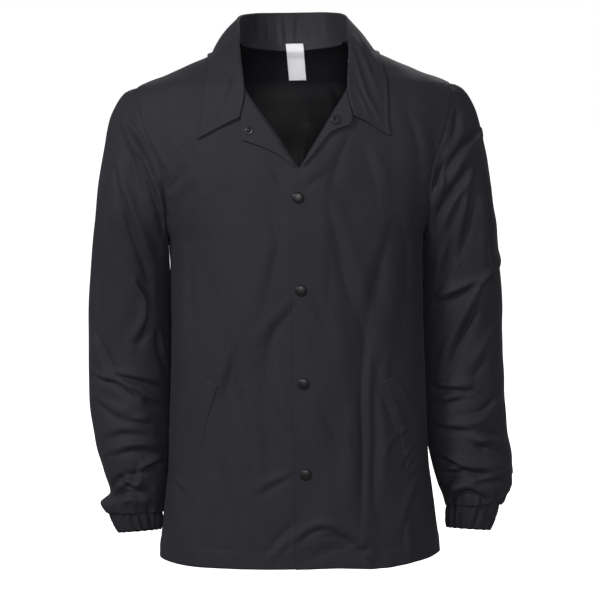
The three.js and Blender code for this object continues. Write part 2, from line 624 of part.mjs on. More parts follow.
// Lapel facing: a patch between the roll line and the free edge, its top edge
// following the collar
function lapel({ side, roll, top, edge }) {
  const sign = side === "left" ? 1 : -1;
  const along = (path, t) => {
    const place = Math.min(t * (path.length - 1), path.length - 1 - 1e-9);
    const i = Math.floor(place);
    return [0, 1].map((k) => mix(path[i][k], path[i + 1][k], place - i));
  };
  const steps = 9;
  const widths = 6;
  const grid = Array.from({ length: steps + 1 }, (_, i) => {
    const t = i / steps;
    const near = along(roll, t);
    const far = along(edge, t);
    return Array.from({ length: widths + 1 }, (_, j) => {
      const v = j / widths;
      const bend = along(top, v);
      const keep = (1 - t) ** 3;
      const [x, down] = [0, 1].map((k) => {
        const bow = bend[k] - mix(top[0][k], top[2][k], v);
        return mix(near[k], far[k], v) + keep * bow;
      });
      const rise = mix(0.8, 3.4, Math.sin((Math.PI / 2) * v)) * (1 - 0.6 * t);
      return frontSpot(sign, x, down, CLOTH + LAY_GAP + rise * (side === "left" ? 1.2 : 1));
    });
  });
  return wallFrom([grid], CLOTH);
}

function welt(side) {
  const at = (path, t) => {
    const [a, b, c] = path;
    const bow = (k) => (1 - t) * (1 - 2 * t) * a[k] + 4 * t * (1 - t) * b[k] + t * (2 * t - 1) * c[k];
    return [bow(0), bow(1)];
  };
  const grid = Array.from({ length: 13 }, (_, i) => {
    const sewn = at(WELT.sewn, i / 12);
    const open = at(WELT.open, i / 12);
    return [0, 0.25, 0.5, 0.75, 1].map((v) => {
      const [x, down] = [0, 1].map((k) => mix(sewn[k], open[k], v));
      return frontSpot(side, x, down, CLOTH + LAY_GAP + 0.4);
    });
  });
  return wallFrom([grid], CLOTH);
}

// Metal snap part: a turned profile set on a spot with its axis along the
// outward direction
function turned(profile, spot, gap) {
  const lathe = new THREE.LatheGeometry(profile.map(([r, h]) => new THREE.Vector2(r, h)), 14);
  lathe.deleteAttribute("uv");
  const turn = new THREE.Quaternion().setFromUnitVectors(new THREE.Vector3(0, 1, 0), spot.out);
  const place = spot.point.clone().addScaledVector(spot.out, gap);
  return lathe.applyMatrix4(new THREE.Matrix4().compose(place, turn, new THREE.Vector3(1, 1, 1)));
}

const CAP = [[0, 0], [SNAP_ROUND - 0.7, 0], [SNAP_ROUND, 0.45], [SNAP_ROUND, 0.8], [SNAP_ROUND - 0.8, 1.5],
  [SNAP_ROUND - 3.2, 2.1], [0, 2.35]];
const BACK_PLATE = [[2.2, 0], [6, 0], [6, 0.5], [5, 0.9], [2.2, 0.9], [2.2, 0]];
const SOCKET = [[3.0, 0], [6.4, 0], [6.4, 0.9], [5.6, 1.7], [3.8, 1.9], [3.0, 1.2], [3.0, 0]];
const STUD = [[0, 0], [6.2, 0], [6.2, 0.6], [3.6, 0.8], [2.4, 1.2], [2.3, 2.2], [1.6, 2.7], [0, 2.8]];

function label() {
  const grid = Array.from({ length: 7 }, (_, i) => {
    const down = LABEL.top + (LABEL.tall * i) / 6;
    return Array.from({ length: 4 }, (_, j) => {
      const x = LABEL.left + (LABEL.wide * j) / 3 + LABEL.lean * (down - LABEL.top);
      const spot = bodySpot(Math.PI - turnAt(x, down), down, -CLOTH - LAY_GAP - LABEL_WALL);
      return { point: spot.point, out: spot.out.negate() };
    });
  });
  return wallFrom([grid], LABEL_WALL);
}

const group = new THREE.Group();
group.name = "coach_jacket";

function add(name, geometry, color, roughness, metalness = 0) {
  const mesh = new THREE.Mesh(geometry, new THREE.MeshStandardMaterial({ color, roughness, metalness }));
  mesh.material.name = `${name}_material`;
  mesh.name = name;
  group.add(mesh);
}

const SHELL = 0x302f34;
const TRIM = 0x323136;
const METAL = 0x2b2b28;

add("front_left", wallFrom([FRONTS.left], CLOTH), SHELL, 0.62);
add("front_right", wallFrom([FRONTS.right], CLOTH), SHELL, 0.62);
add("back", back(), SHELL, 0.62);
add("sleeve_left", sleeve(1), SHELL, 0.62);
add("sleeve_right", sleeve(-1), SHELL, 0.62);
add("cuff_left", cuff(CUFFS[0]), TRIM, 0.62);
add("cuff_right", cuff(CUFFS[1]), TRIM, 0.62);
add("collar", collar(), TRIM, 0.62);
add("lapel_left", lapel(LAPELS[0]), TRIM, 0.62);
add("lapel_right", lapel(LAPELS[1]), TRIM, 0.62);
add("welt_left", welt(1), TRIM, 0.62);
add("welt_right", welt(-1), TRIM, 0.62);
add("neck_label", label(), 0xe1e0e5, 0.8);
SNAPS.forEach(({ x, down }, i) => {
  add(`snap_cap_${i + 1}`, turned(CAP, frontSpot(1, x, down), LAY_GAP), METAL, 0.4, 0.6);
  const inside = frontSpot(-1, -x, down, -CLOTH);
  inside.out.negate();
  add(`snap_back_${i + 1}`, turned(BACK_PLATE, inside, LAY_GAP), METAL, 0.4, 0.6);
});
const onLapel = (side, { x, down, rise }) => frontSpot(side, x, down, rise);
add("snap_socket", turned(SOCKET, onLapel(1, LAPEL_SOCKET), LAY_GAP), METAL, 0.4, 0.6);
add("snap_stud", turned(STUD, onLapel(-1, LAPEL_STUD), LAY_GAP), METAL, 0.4, 0.6);

export default group;
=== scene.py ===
import bmesh
import bpy
import numpy as np
from mathutils import Matrix, Vector


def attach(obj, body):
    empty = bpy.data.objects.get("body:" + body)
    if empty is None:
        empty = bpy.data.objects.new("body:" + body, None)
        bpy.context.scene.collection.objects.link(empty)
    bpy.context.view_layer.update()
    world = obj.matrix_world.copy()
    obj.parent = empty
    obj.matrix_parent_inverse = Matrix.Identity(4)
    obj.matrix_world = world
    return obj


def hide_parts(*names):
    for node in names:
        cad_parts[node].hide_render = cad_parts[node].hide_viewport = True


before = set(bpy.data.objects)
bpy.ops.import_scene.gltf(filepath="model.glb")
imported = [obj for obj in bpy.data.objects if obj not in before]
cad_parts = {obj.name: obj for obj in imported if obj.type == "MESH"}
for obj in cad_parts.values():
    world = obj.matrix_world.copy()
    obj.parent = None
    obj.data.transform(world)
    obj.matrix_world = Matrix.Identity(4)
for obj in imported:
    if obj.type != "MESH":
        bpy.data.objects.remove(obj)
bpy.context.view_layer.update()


# The two fronts. Each is one panel of plain-woven nylon, cut to the neck, shoulder seam,
# armhole and side seam, with its front band and hem turned in and stitched. The wearer's
# left front lies over the right one and is snapped to it.

SHELL_WALL = 0.8
HEM_DOWN = 722.0
TIP_DOWN = 58.0
UNDERARM_DOWN = 272.0
OVERLAP = 2.0
# Rows of the fronts and the back from the neck to the end of the shoulder seam
SHOULDER_ROWS = 55
# How far the wearer's right side stands out to the sleeve
SIDE_OUT = 2.7

# Sections of the body: down, half width, depth to the front, depth to the back, squareness
BODY = [
    (0, 80, 60, 66, 2), (20, 128, 67, 84, 2), (40, 176, 77, 96, 2), (58, 220, 87, 104, 2),
    (75, 238, 94, 108, 2), (97, 250, 102, 112, 2), (130, 254, 110, 115, 2),
    (160, 248, 115, 117, 2), (191, 234, 119, 117, 2), (229, 209, 121, 116, 2.1),
    (250, 193, 122, 115, 2.22), (272, 180, 122, 114, 2.36), (310, 178.5, 121.5, 111, 2.4),
    (364, 178.5, 121, 109, 2.4), (470, 181, 119, 107, 2.4), (587, 184.5, 119, 109, 2.4),
    (640, 190.5, 120, 111, 2.4), (722, 200, 121, 114, 2.4),
]
# Edge towards the middle: down, x of the front that lies over, x of the one under it
FRONT_EDGE = [
    (0, 80, 80), (14, 79.5, 79.5), (34, 78, 78), (52, 73.5, 73), (64, 69, 68), (90, 52.5, 51),
    (130, 27, 24), (162, 7, 4), (170, 2, -1.5), (178, 0, -5), (190, -4.5, -10),
    (206, -9, -15), (222, -11, -17), (722, -11, -17),
]
# Armhole seam: down, x seen from the front, x seen from the back
ARMHOLE = [
    (58, 220, 220), (80, 218, 218.5), (104, 212, 213.5), (128, 204, 207), (150, 195, 200.5),
    (170, 188, 195), (190, 184.3, 191), (206, 183, 188), (222, 182.3, 185.5),
    (240, 181.8, 183.5), (256, 181.3, 182), (272, 180, 180),
]
# Creases of the fronts: depth, half width, side of the ridge, then x and down along it.
# The ridge is on the wearer's left of a crease that runs down where its side is 1.
FRONT_CREASES = [
    (2.4, 11, 1, [(38, 215), (46, 245), (53, 278), (64, 330), (84, 385), (97, 420)]),
    (1.6, 8, 1, [(16, 340), (24, 360), (39, 392), (48, 420)]),
    (1.8, 8, -1, [(-6, 350), (-14, 366), (-31, 386), (-47, 414)]),
    (1.4, 9, -1, [(-38, 235), (-28, 268), (-38, 310), (-46, 345), (-52, 380)]),
    (1.2, 7, -1, [(-38, 165), (-24, 185), (-9, 202)]),
    (1.4, 8, 1, [(10, 196), (24, 186), (40, 176)]),
    (1.6, 9, -1, [(76, 118), (60, 148), (50, 178), (44, 200)]),
    (1.4, 8, 1, [(92, 146), (104, 180), (110, 214)]),
    (2.6, 5.5, 1, [(92, 418), (87, 446), (84, 500), (84, 560), (81, 620), (79, 664)]),
    (1.6, 7, 1, [(100, 470), (104, 520), (102, 570), (96, 636)]),
    (1.8, 7, 1, [(22, 486), (33, 512), (45, 540), (62, 580)]),
    (1.5, 7, 1, [(-38, 470), (-36, 500), (-29, 520), (-19, 540)]),
    (1.6, 6, -1, [(-12, 590), (-27, 599), (-45, 609), (-64, 622)]),
    (1.8, 10, 1, [(-84, 480), (-79, 540), (-78, 590), (-80, 650)]),
    (1.4, 9, -1, [(-98, 330), (-92, 390), (-96, 450), (-90, 500)]),
    (2.8, 6, 1, [(-10, 690), (4, 676), (22, 668), (44, 672), (62, 684), (80, 700)]),
    (1.6, 4, 1, [(20, 678), (34, 675), (50, 680), (62, 690)]),
    (1.5, 5, 1, [(72, 698), (84, 695), (96, 690)]),
    (1.8, 6, -1, [(86, 700), (98, 714), (108, 722)]),
    (2.0, 7, -1, [(-52, 700), (-38, 684), (-22, 668), (-12, 656)]),
    (1.3, 6, -1, [(-28, 700), (-18, 686), (-12, 676)]),
    (2.2, 6, -1, [(176, 606), (163, 622), (154, 643), (151, 668)]),
    (1.3, 4, -1, [(158, 532), (150, 538), (140, 548)]),
    (1.4, 4, -1, [(163, 558), (149, 576), (140, 593)]),
    (1.2, 4, -1, [(165, 570), (152, 586), (148, 600)]),
    (1.4, 5, -1, [(139, 543), (127, 558), (120, 575)]),
    (1.2, 4, -1, [(170, 587), (156, 604)]),
    (1.8, 7, 1, [(104, 476), (116, 494), (126, 520), (134, 545)]),
    (1.5, 8, 1, [(112, 430), (106, 455), (108, 480)]),
    (1.5, 6, -1, [(-84, 404), (-96, 444), (-112, 492)]),
    (1.3, 5, 1, [(-178, 606), (-168, 618), (-158, 626)]),
    (1.6, 5, 1, [(-206, 128), (-199, 145), (-188, 166), (-180, 184)]),
    (1.6, 7, -1, [(-182, 204), (-166, 188), (-150, 168)]),
    (1.4, 8, -1, [(-160, 120), (-140, 150), (-128, 190)]),
    (1.4, 8, 1, [(150, 96), (162, 130), (170, 176)]),
    (1.5, 9, 1, [(140, 240), (150, 300), (146, 370)]),
    (1.6, 10, -1, [(128, 250), (112, 310), (106, 360)]),
    (1.5, 10, -1, [(-140, 230), (-150, 310), (-146, 400)]),
    (1.6, 12, 1, [(-120, 560), (-112, 620), (-116, 690)]),
    (1.2, 6, 1, [(148, 650), (140, 680), (142, 712)]),
    (2.0, 2.2, 0, [(134.5, 458), (159.5, 520), (173.5, 597)]),
    (0.6, 2.2, 0, [(-134.5, 458), (-159.5, 520), (-173.5, 597)]),
]
# Broad soft folds that the solids have too: depth, half width, side, line
FRONT_FOLDS = [
    (2.0, 17, 0, [(44, 262), (40, 330), (36, 400)]),
    (4.0, 20, 0, [(100, 330), (90, 400), (78, 480)]),
    (3.4, 22, 0, [(78, 460), (94, 560), (108, 680)]),
    (-2.4, 20, 0, [(66, 510), (64, 580), (62, 650)]),
    (2.6, 15, 0, [(0, 712), (30, 698), (66, 690)]),
    (2.8, 18, 0, [(-32, 370), (-44, 430), (-54, 490)]),
    (2.4, 18, 0, [(-54, 470), (-44, 530), (-30, 590)]),
    (3.0, 20, 0, [(-90, 430), (-102, 500), (-112, 570)]),
    (2.8, 22, 0, [(-114, 550), (-106, 620), (-96, 700)]),
]


def through(table, column, place):
    """Smooth curve through one column of a table, without overshoot."""
    rows = np.array(table, float)
    at, value = rows[:, 0], rows[:, column]
    rise = np.diff(value) / np.diff(at)
    slope = np.concatenate([rise[:1], np.zeros(len(rise) - 1), rise[-1:]])
    product = rise[:-1] * rise[1:]
    total = np.where(product > 0, rise[:-1] + rise[1:], 1.0)
    slope[1:-1] = np.where(product > 0, 2 * product / total, 0.0)
    i = np.clip(np.searchsorted(at, place, side="right") - 1, 0, len(at) - 2)
    step = at[i + 1] - at[i]
    t = np.clip((place - at[i]) / step, 0, 1)
    first = 2 * t**3 - 3 * t**2 + 1
    held = first * value[i] + (1 - first) * value[i + 1]
    return held + step * ((t**3 - 2 * t**2 + t) * slope[i] + (t**3 - t**2) * slope[i + 1])


def ease(t):
    t = np.clip(t, 0, 1)
    return t * t * (3 - 2 * t)


def body_point(turn, down):
    """Point of the body form; the turn is 0 at the middle front and grows to the wearer's left."""
    square = through(BODY, 4, down)
    depth = np.where(np.cos(turn) > 0, through(BODY, 2, down), through(BODY, 3, down))
    reach = (np.abs(np.sin(turn)) ** square + np.abs(np.cos(turn)) ** square) ** (-1 / square)
    x = through(BODY, 1, down) * np.sin(turn) * reach
    return np.stack([x, -depth * np.cos(turn) * reach, -down + 0 * x], -1)


def body_out(turn, down):
    across = body_point(turn + 0.002, down) - body_point(turn - 0.002, down)
    along = body_point(turn, down + 0.4) - body_point(turn, np.maximum(down - 0.4, 0))
    out = np.cross(along, across)
    return out / np.linalg.norm(out, axis=-1, keepdims=True)


def turn_at(x, down):
    square = through(BODY, 4, down)
    share = np.minimum((np.abs(x) / through(BODY, 1, down)) ** square, 1)
    return np.sign(x) * np.arctan2(share ** (1 / square), (1 - share) ** (1 / square))


def beside_sleeve(x, down):
    """Share of the body's side that stands out: the wearer's right one, from the waist to the hem."""
    return ease((down - 440) / 110) * ease((790 - down) / 100) * ease((-x - 100) / 80)


def smooth_line(points, step=4.0):
    """The same line through its points with more of them, rounded at each one."""
    points = np.array(points, float)
    ends = [2 * points[0] - points[1], *points, 2 * points[-1] - points[-2]]
    line = []
    for before, a, b, after in zip(ends, ends[1:], ends[2:], ends[3:]):
        for t in np.arange(0, 1, step / max(np.linalg.norm(b - a), step)):
            line.append(0.5 * (2 * a + (b - before) * t + (2 * before - 5 * a + 4 * b - after) * t**2
                               + (3 * a - before - 3 * b + after) * t**3))
    return np.array([*line, points[-1]])


def beside_line(points, outs, line, reach):
    """Of each point: how far it is from a line, on which side, and how far along. Far ones are left out."""
    low, high = line.min(0) - reach, line.max(0) + reach
    near = np.flatnonzero(((points > low) & (points < high)).all(1))
    spots, up = points[near], outs[near]
    best = np.full(len(near), 1e9)
    side, along = np.zeros(len(near)), np.zeros(len(near))
    walked = 0.0
    for a, b in zip(line, line[1:]):
        run = b - a
        length = np.linalg.norm(run)
        t = np.clip(((spots - a) @ run) / length**2, 0, 1)
        away = spots - a - t[:, None] * run
        gap = np.linalg.norm(away, axis=1)
        closer = gap < best
        best = np.where(closer, gap, best)
        turned = (away * np.cross(up, run / length)).sum(1)
        side = np.where(closer, np.sign(turned), side)
        along = np.where(closer, walked + t * length, along)
        walked += length
    return near, best * side, along / walked


def creased(points, outs, creases, place, strength=1.4):
    """Height of the given creases over a grid: a soft trough with a ridge on one side of it or both."""
    spots, up = points.reshape(-1, 3), outs.reshape(-1, 3)
    height = np.zeros(len(spots))
    for deep, wide, ridge, path in creases:
        line = smooth_line([place(x, down) for x, down in path])
        near, off, along = beside_line(spots, up, line, 5 * wide)
        taper = np.sin(np.pi * np.clip(0.06 + 0.88 * along, 0, 1)) ** 0.8
        broad = wide * (0.75 + 0.45 * along)
        trough = -np.exp(-(np.abs(off / (0.8 * broad)) ** 1.4))
        if ridge:
            crest = 0.8 * np.exp(-(((off - ridge * 1.6 * broad) / (1.15 * broad)) ** 2))
        else:
            crest = 0
        height[near] += strength * deep * taper * (trough + crest)
    return height.reshape(points.shape[:2])


def uneven(points, seed, size=70.0, height=1.0):
    """Gentle unevenness of hanging cloth: long waves, more of them across than down."""
    draw = np.random.default_rng(seed)
    total = np.zeros(points.shape[:2])
    for _ in range(26):
        length = size * draw.uniform(0.55, 1.7)
        lean = draw.normal(0, 0.45)
        wave = np.array([np.cos(lean), draw.normal(0, 0.5), np.sin(lean) * 0.8]) * 2 * np.pi / length
        total += np.sin(points @ wave + draw.uniform(0, 2 * np.pi)) * (length / size)
    return height * total / 5.0


def seamed(points, outs, line, pull=1.0, groove=1.0, seed=1):
    """A seam: the cloth rolls in at it, and small puckers run out from it."""
    spots, up = points.reshape(-1, 3), outs.reshape(-1, 3)
    near, off, along = beside_line(spots, up, np.array(line), 45)
    length = np.linalg.norm(np.diff(line, axis=0), axis=1).sum() * along
    draw = np.random.default_rng(seed)
    waves = sum(np.sin(length * 2 * np.pi / draw.uniform(16, 52) + draw.uniform(0, 6.3)) for _ in range(5))
    fading = np.exp(-((off / 12) ** 2)) - np.exp(-((off / 3.5) ** 2))
    height = np.zeros(len(spots))
    height[near] = 0.34 * pull * waves * fading - groove * np.exp(-((off / 1.7) ** 2))
    return height.reshape(points.shape[:2])


def quiet_at(points, outs, lines, reach=9.0):
    """Share of the creases that is left near the seams, where two pieces have to meet: none on them."""
    share = np.ones(points.shape[0] * points.shape[1])
    for line in lines:
        near, off, _ = beside_line(points.reshape(-1, 3), outs.reshape(-1, 3), np.array(line), reach)
        share[near] *= ease(np.abs(off) / reach)
    return share.reshape(points.shape[:2])


def nearest_on(points, wanted=None):
    """Gives for x and down the point that is seen there from the front, of a grid or of a part of it."""
    spots = points.reshape(-1, 3) if wanted is None else points[wanted]

    def place(x, down):
        return spots[np.argmin((spots[:, 0] - x) ** 2 + (spots[:, 2] + down) ** 2)]

    return place


def lengths(points):
    """How far each point of a grid lies across and down the cloth, in metres, for its weave."""
    across = np.linalg.norm(np.diff(points, axis=1), axis=2).cumsum(1)
    across = np.hstack([np.zeros((len(points), 1)), across])
    down = np.linalg.norm(np.diff(points, axis=0), axis=2).cumsum(0)
    down = np.vstack([np.zeros((1, points.shape[1])), down])
    return np.stack([across - across[:, -1:] / 2, -down], -1) * 0.001


def cloth_piece(name, points, outs, wall, material, tube=False, inside=None,
                parted=False):
    """A thin sheet of cloth on a grid of points, its face side outwards, with its wall on the inside."""
    rows, columns = points.shape[:2]
    bm = bmesh.new()
    bmesh.ops.create_grid(bm, x_segments=columns - 1, y_segments=rows - 1, size=1)
    bm.verts.ensure_lookup_table()
    for vertex, point in zip(bm.verts, points.reshape(-1, 3) * 0.001):
        vertex.co = point
    weave = bm.loops.layers.uv.new("weave")
    laid = lengths(points).reshape(-1, 2)
    for face in bm.faces:
        for loop in face.loops:
            loop[weave].uv = laid[loop.vert.index]
    bm.normal_update()
    facing = sum(v.normal.dot(Vector(o)) for v, o in zip(bm.verts, outs.reshape(-1, 3)))
    if facing < 0:
        bmesh.ops.reverse_faces(bm, faces=bm.faces)
    if parted:
        # No cloth spans the neck opening, between the two halves of the back
        spanning = [face for face in bm.faces if min(vertex.co.x for vertex in face.verts) < -0.0005
                    and max(vertex.co.x for vertex in face.verts) > 0.0005]
        bmesh.ops.delete(bm, geom=spanning, context="FACES")
    if tube:
        bmesh.ops.remove_doubles(bm, verts=bm.verts, dist=1e-6)
    return finished(bm, name, material, wall, inside)


def finished(bm, name, material, wall=0.0, inside=None):
    for face in bm.faces:
        face.smooth = True
    mesh = bpy.data.meshes.new(name)
    bm.to_mesh(mesh)
    bm.free()
    piece = bpy.data.objects.new(f"{name}_piece", mesh)
    bpy.context.scene.collection.objects.link(piece)
    piece.data.materials.append(material)
    if wall:
        # The wall's inside faces take the second material: the darker nylon with painted shade
        if inside:
            piece.data.materials.append(inside)
        solid = piece.modifiers.new("wall", "SOLIDIFY")
        solid.material_offset = 1 if inside else 0
        solid.thickness = wall * 0.001
        solid.offset = -1
    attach(piece, "root")
    return piece


def linear(colour):
    """An sRGB hex colour as the linear values that a shader takes."""
    parts = [int(colour[i:i + 2], 16) / 255 for i in (1, 3, 5)]
    return (*[p / 12.92 if p <= 0.04045 else ((p + 0.055) / 1.055) ** 2.4 for p in parts], 1)


def add_node(material, kind, settings=None, values=None, links=None):
    """One node with its settings, the values of its inputs, and what is linked to them."""
    node = material.node_tree.nodes.new(kind)
    for key, value in (settings or {}).items():
        setattr(node, key, value)
    for key, value in (values or {}).items():
        node.inputs[key].default_value = value
    for key, socket in (links or {}).items():
        material.node_tree.links.new(socket, node.inputs[key])
    return node


def woven_nylon(name, dark, light, rough):
    """Plain-woven nylon with a peached face: near black, matte, with a faint sheen and uneven threads."""
    material = bpy.data.materials.new(name)
    material.use_nodes = True
    material.node_tree.nodes.clear()
    place = add_node(material, "ShaderNodeUVMap", {"uv_map": "weave"})
    # Real threads are 0.25 mm apart; the slubs along them are drawn 1.4 mm wide so that they show
    slub_place = add_node(material, "ShaderNodeMapping", values={"Scale": (700, 26, 1)},
                          links={"Vector": place.outputs["UV"]})
    slub = add_node(material, "ShaderNodeTexNoise", values={"Scale": 1.0, "Detail": 3.0, "Roughness": 0.6},
                    links={"Vector": slub_place.outputs["Vector"]})
    cross_place = add_node(material, "ShaderNodeMapping", values={"Scale": (40, 800, 1)},
                           links={"Vector": place.outputs["UV"]})
    cross = add_node(material, "ShaderNodeTexNoise", values={"Scale": 1.0, "Detail": 2.0, "Roughness": 0.6},
                     links={"Vector": cross_place.outputs["Vector"]})
    wear = add_node(material, "ShaderNodeTexNoise", values={"Scale": 22.0, "Detail": 4.0, "Roughness": 0.55},
                    links={"Vector": place.outputs["UV"]})
    threads = add_node(material, "ShaderNodeMath", {"operation": "MULTIPLY_ADD"}, {1: 0.55},
                       {0: cross.outputs["Fac"], 2: slub.outputs["Fac"]})
    cloudy = add_node(material, "ShaderNodeMath", {"operation": "MULTIPLY_ADD"}, {1: 0.5},
                      {0: wear.outputs["Fac"], 2: threads.outputs["Value"]})
    tone = add_node(material, "ShaderNodeMapRange", values={"From Min": 0.6, "From Max": 1.45},
                    links={"Value": cloudy.outputs["Value"]})
    colour = add_node(material, "ShaderNodeMix", {"data_type": "RGBA"},
                      {"A": linear(dark), "B": linear(light)}, {"Factor": tone.outputs["Result"]})
    bump = add_node(material, "ShaderNodeBump", values={"Strength": 0.5, "Distance": 0.0001},
                    links={"Height": threads.outputs["Value"]})
    gloss = add_node(material, "ShaderNodeMapRange",
                     values={"From Min": 0.3, "From Max": 0.7,
                             "To Min": rough - 0.05, "To Max": rough + 0.06},
                     links={"Value": wear.outputs["Fac"]})
    shader = add_node(material, "ShaderNodeBsdfPrincipled",
                      values={"IOR": 1.53, "Specular IOR Level": 0.2, "Sheen Weight": 0.05,
                              "Sheen Roughness": 0.45, "Sheen Tint": linear("#c9c9d2")},
                      links={"Base Color": colour.outputs["Result"], "Roughness": gloss.outputs["Result"],
                             "Normal": bump.outputs["Normal"]})
    add_node(material, "ShaderNodeOutputMaterial", links={"Surface": shader.outputs["BSDF"]})
    return material


shell_nylon = woven_nylon("woven nylon shell", "#29272d", "#333138", 0.7)
collar_nylon = woven_nylon("woven nylon collar", "#29272d", "#333138", 0.68)
# The inside of the shell is the same nylon drawn much darker, as painted shade of the hollow inside, and
# smoother
painted_shade_inside = woven_nylon("nylon inside with painted shade", "#0d0e11", "#141519", 0.55)


def front_sizes(side):
    """Rows and columns of a front before its creases, as turn and down."""
    down = np.concatenate([np.linspace(0.3, 57, 54), np.arange(58, HEM_DOWN + 0.1, 2.656)])[:, None]
    near = turn_at(through(FRONT_EDGE, 1 if side > 0 else 2, down), down)
    in_armhole = (down > TIP_DOWN) & (down < UNDERARM_DOWN)
    far = np.where(in_armhole, turn_at(through(ARMHOLE, 1, down), down), np.pi / 2)
    turn = near + (far - near) * np.linspace(0, 1, 112)
    return turn, down


def overlap_lift(x, down):
    return OVERLAP * ease((70 - x) / 46) * ease((down - 128) / 34)


def front_base(side):
    turn, down = front_sizes(side)
    points, outs = body_point(turn, down), body_out(turn, down)
    lift = overlap_lift(points[..., 0], down) if side > 0 else np.zeros(turn.shape)
    if side < 0:
        points, outs = points * [-1, 1, 1], outs * [-1, 1, 1]
    return points, outs, lift


def front_relief(points, outs):
    """Height of the creases and folds at points of either front, so that both share them where they lap."""
    down = -points[..., 2]
    whole_turn, whole_down = np.meshgrid(np.linspace(-1.5, 1.5, 240), np.linspace(1, HEM_DOWN, 360))
    place = nearest_on(body_point(whole_turn, whole_down))
    height = creased(points, outs, FRONT_FOLDS + FRONT_CREASES, place)
    height += uneven(points, 11, 74, 0.9)
    calm = np.ones(points.shape[:2])
    for x, at in SNAPS:
        calm *= 1 - 0.85 * np.exp(-(((points[..., 0] - x) ** 2 + (down - at) ** 2) / 17**2))
    calm *= ease((np.abs(points[..., 0]) - 84) / 30) * ease((150 - down) / 40) + ease((down - 110) / 40)
    return height * np.clip(calm, 0, 1)


# Snaps down the front edge, as x and down
SNAPS = [(-0.7, 210), (1.4, 336), (3.2, 464), (4.2, 590)]


def front_piece(side):
    name = "front_left" if side > 0 else "front_right"
    points, outs, lift = front_base(side)
    relief = front_relief(points, outs)
    shoulder = points[:SHOULDER_ROWS, -1]
    armhole = points[(-points[:, -1, 2] > TIP_DOWN - 3) & (-points[:, -1, 2] < UNDERARM_DOWN + 3), -1]
    side_seam = points[-points[:, -1, 2] > UNDERARM_DOWN - 3, -1]
    relief *= quiet_at(points, outs, (shoulder, armhole)) * quiet_at(points, outs, (side_seam,), 26)
    relief += seamed(points, outs, shoulder, 0.5, 0.5, 21)
    relief += seamed(points, outs, armhole, 1.0, 0.8, 22 if side > 0 else 23)
    relief += seamed(points, outs, side_seam, 0.4, 0.4, 24)
    down = -points[..., 2]
    hem_stitch = -0.5 * np.exp(-(((down - (HEM_DOWN - 27)) / 1.6) ** 2))
    hem_pull = uneven(points, 31, 21, 0.4) * np.exp(-(((down - (HEM_DOWN - 20)) / 20) ** 2))
    across = np.linalg.norm(np.diff(points, axis=1), axis=2).cumsum(1)
    from_edge = np.hstack([np.zeros((len(points), 1)), across])
    below_roll = ease((down - 160) / 20)
    edge_roll = 0.7 * np.exp(-((from_edge / 2.5) ** 2)) * below_roll
    band_stitch = -0.35 * np.exp(-(((from_edge - 36) / 1.5) ** 2)) * below_roll
    relief = relief + hem_stitch + hem_pull + edge_roll + band_stitch
    points = points + outs * (relief + lift)[..., None]
    # The wearer's right side stands out to the sleeve, and the hem hangs lower at the left pocket
    points[..., 0] -= SIDE_OUT * beside_sleeve(points[..., 0], down)
    points[..., 2] -= 4.5 * np.exp(-(((points[..., 0] - 112) / 48) ** 2)) * ease((down - 600) / 122)
    piece = cloth_piece(name, points, outs, SHELL_WALL, shell_nylon, inside=painted_shade_inside)
    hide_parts(name)
    return piece


front_left = front_piece(1)
front_right = front_piece(-1)


# The back. One panel of the same nylon from the neck seam to the hem, sewn to the fronts at
# the shoulders and sides. It can't be seen in the photograph apart from its inside.

BACK_NECK = [(0, 80), (2, 74), (4, 63), (6, 46), (7.4, 24), (8, 0)]
BACK_CREASES = [
    (3.0, 22, 0, [(-60, 150), (-70, 280), (-84, 420)]),
    (3.0, 22, 0, [(58, 170), (72, 300), (92, 430)]),
    (3.6, 24, 0, [(-20, 330), (-30, 480), (-46, 640)]),
    (3.6, 24, 0, [(34, 360), (30, 500), (28, 660)]),
    (2.8, 22, 0, [(112, 470), (108, 580), (104, 690)]),
    (2.8, 22, 0, [(-118, 450), (-112, 560), (-108, 680)]),
    (2.2, 8, 1, [(-176, 196), (-150, 214), (-112, 252), (-84, 300)]),
    (1.8, 8, -1, [(178, 190), (150, 206), (118, 250), (92, 292)]),
    (1.8, 9, 1, [(-184, 236), (-160, 270), (-140, 330)]),
    (1.8, 9, -1, [(184, 232), (158, 262), (136, 320)]),
    (1.6, 8, -1, [(-60, 60), (-78, 110), (-86, 170)]),
    (1.6, 8, 1, [(62, 58), (80, 104), (90, 168)]),
    (1.6, 8, -1, [(-14, 420), (-6, 500), (-12, 590)]),
    (1.6, 8, 1, [(60, 470), (70, 560), (64, 650)]),
    (1.8, 8, 1, [(-150, 480), (-140, 560), (-146, 640)]),
    (1.6, 8, -1, [(150, 430), (142, 520), (148, 610)]),
    (2.0, 7, 1, [(-70, 700), (-48, 676), (-20, 668), (8, 680)]),
    (1.6, 6, 1, [(40, 704), (62, 690), (88, 694)]),
    (1.4, 9, -1, [(20, 120), (14, 200), (20, 290)]),
]
back_down = np.concatenate([np.linspace(0.3, 57, 54), np.arange(58, HEM_DOWN + 0.1, 3.0182)])[:, None]
back_near = turn_at(np.where(back_down < 8, through(BACK_NECK, 1, back_down), 0), back_down)
back_hole = (back_down > TIP_DOWN) & (back_down < UNDERARM_DOWN)
back_far = np.where(back_hole, turn_at(through(ARMHOLE, 2, back_down), back_down), np.pi / 2)
back_turn = back_near + (back_far - back_near) * np.linspace(0, 1, 90)
back_halves = {}
for side in (1, -1):
    turn = np.pi - back_turn
    points = body_point(turn, back_down) * [side, 1, 1]
    outs = body_out(turn, back_down) * [side, 1, 1]
    # Below the neck edge the two halves meet on the middle
    points[8:, 0, 0] = 0
    back_halves[side] = [points, outs]


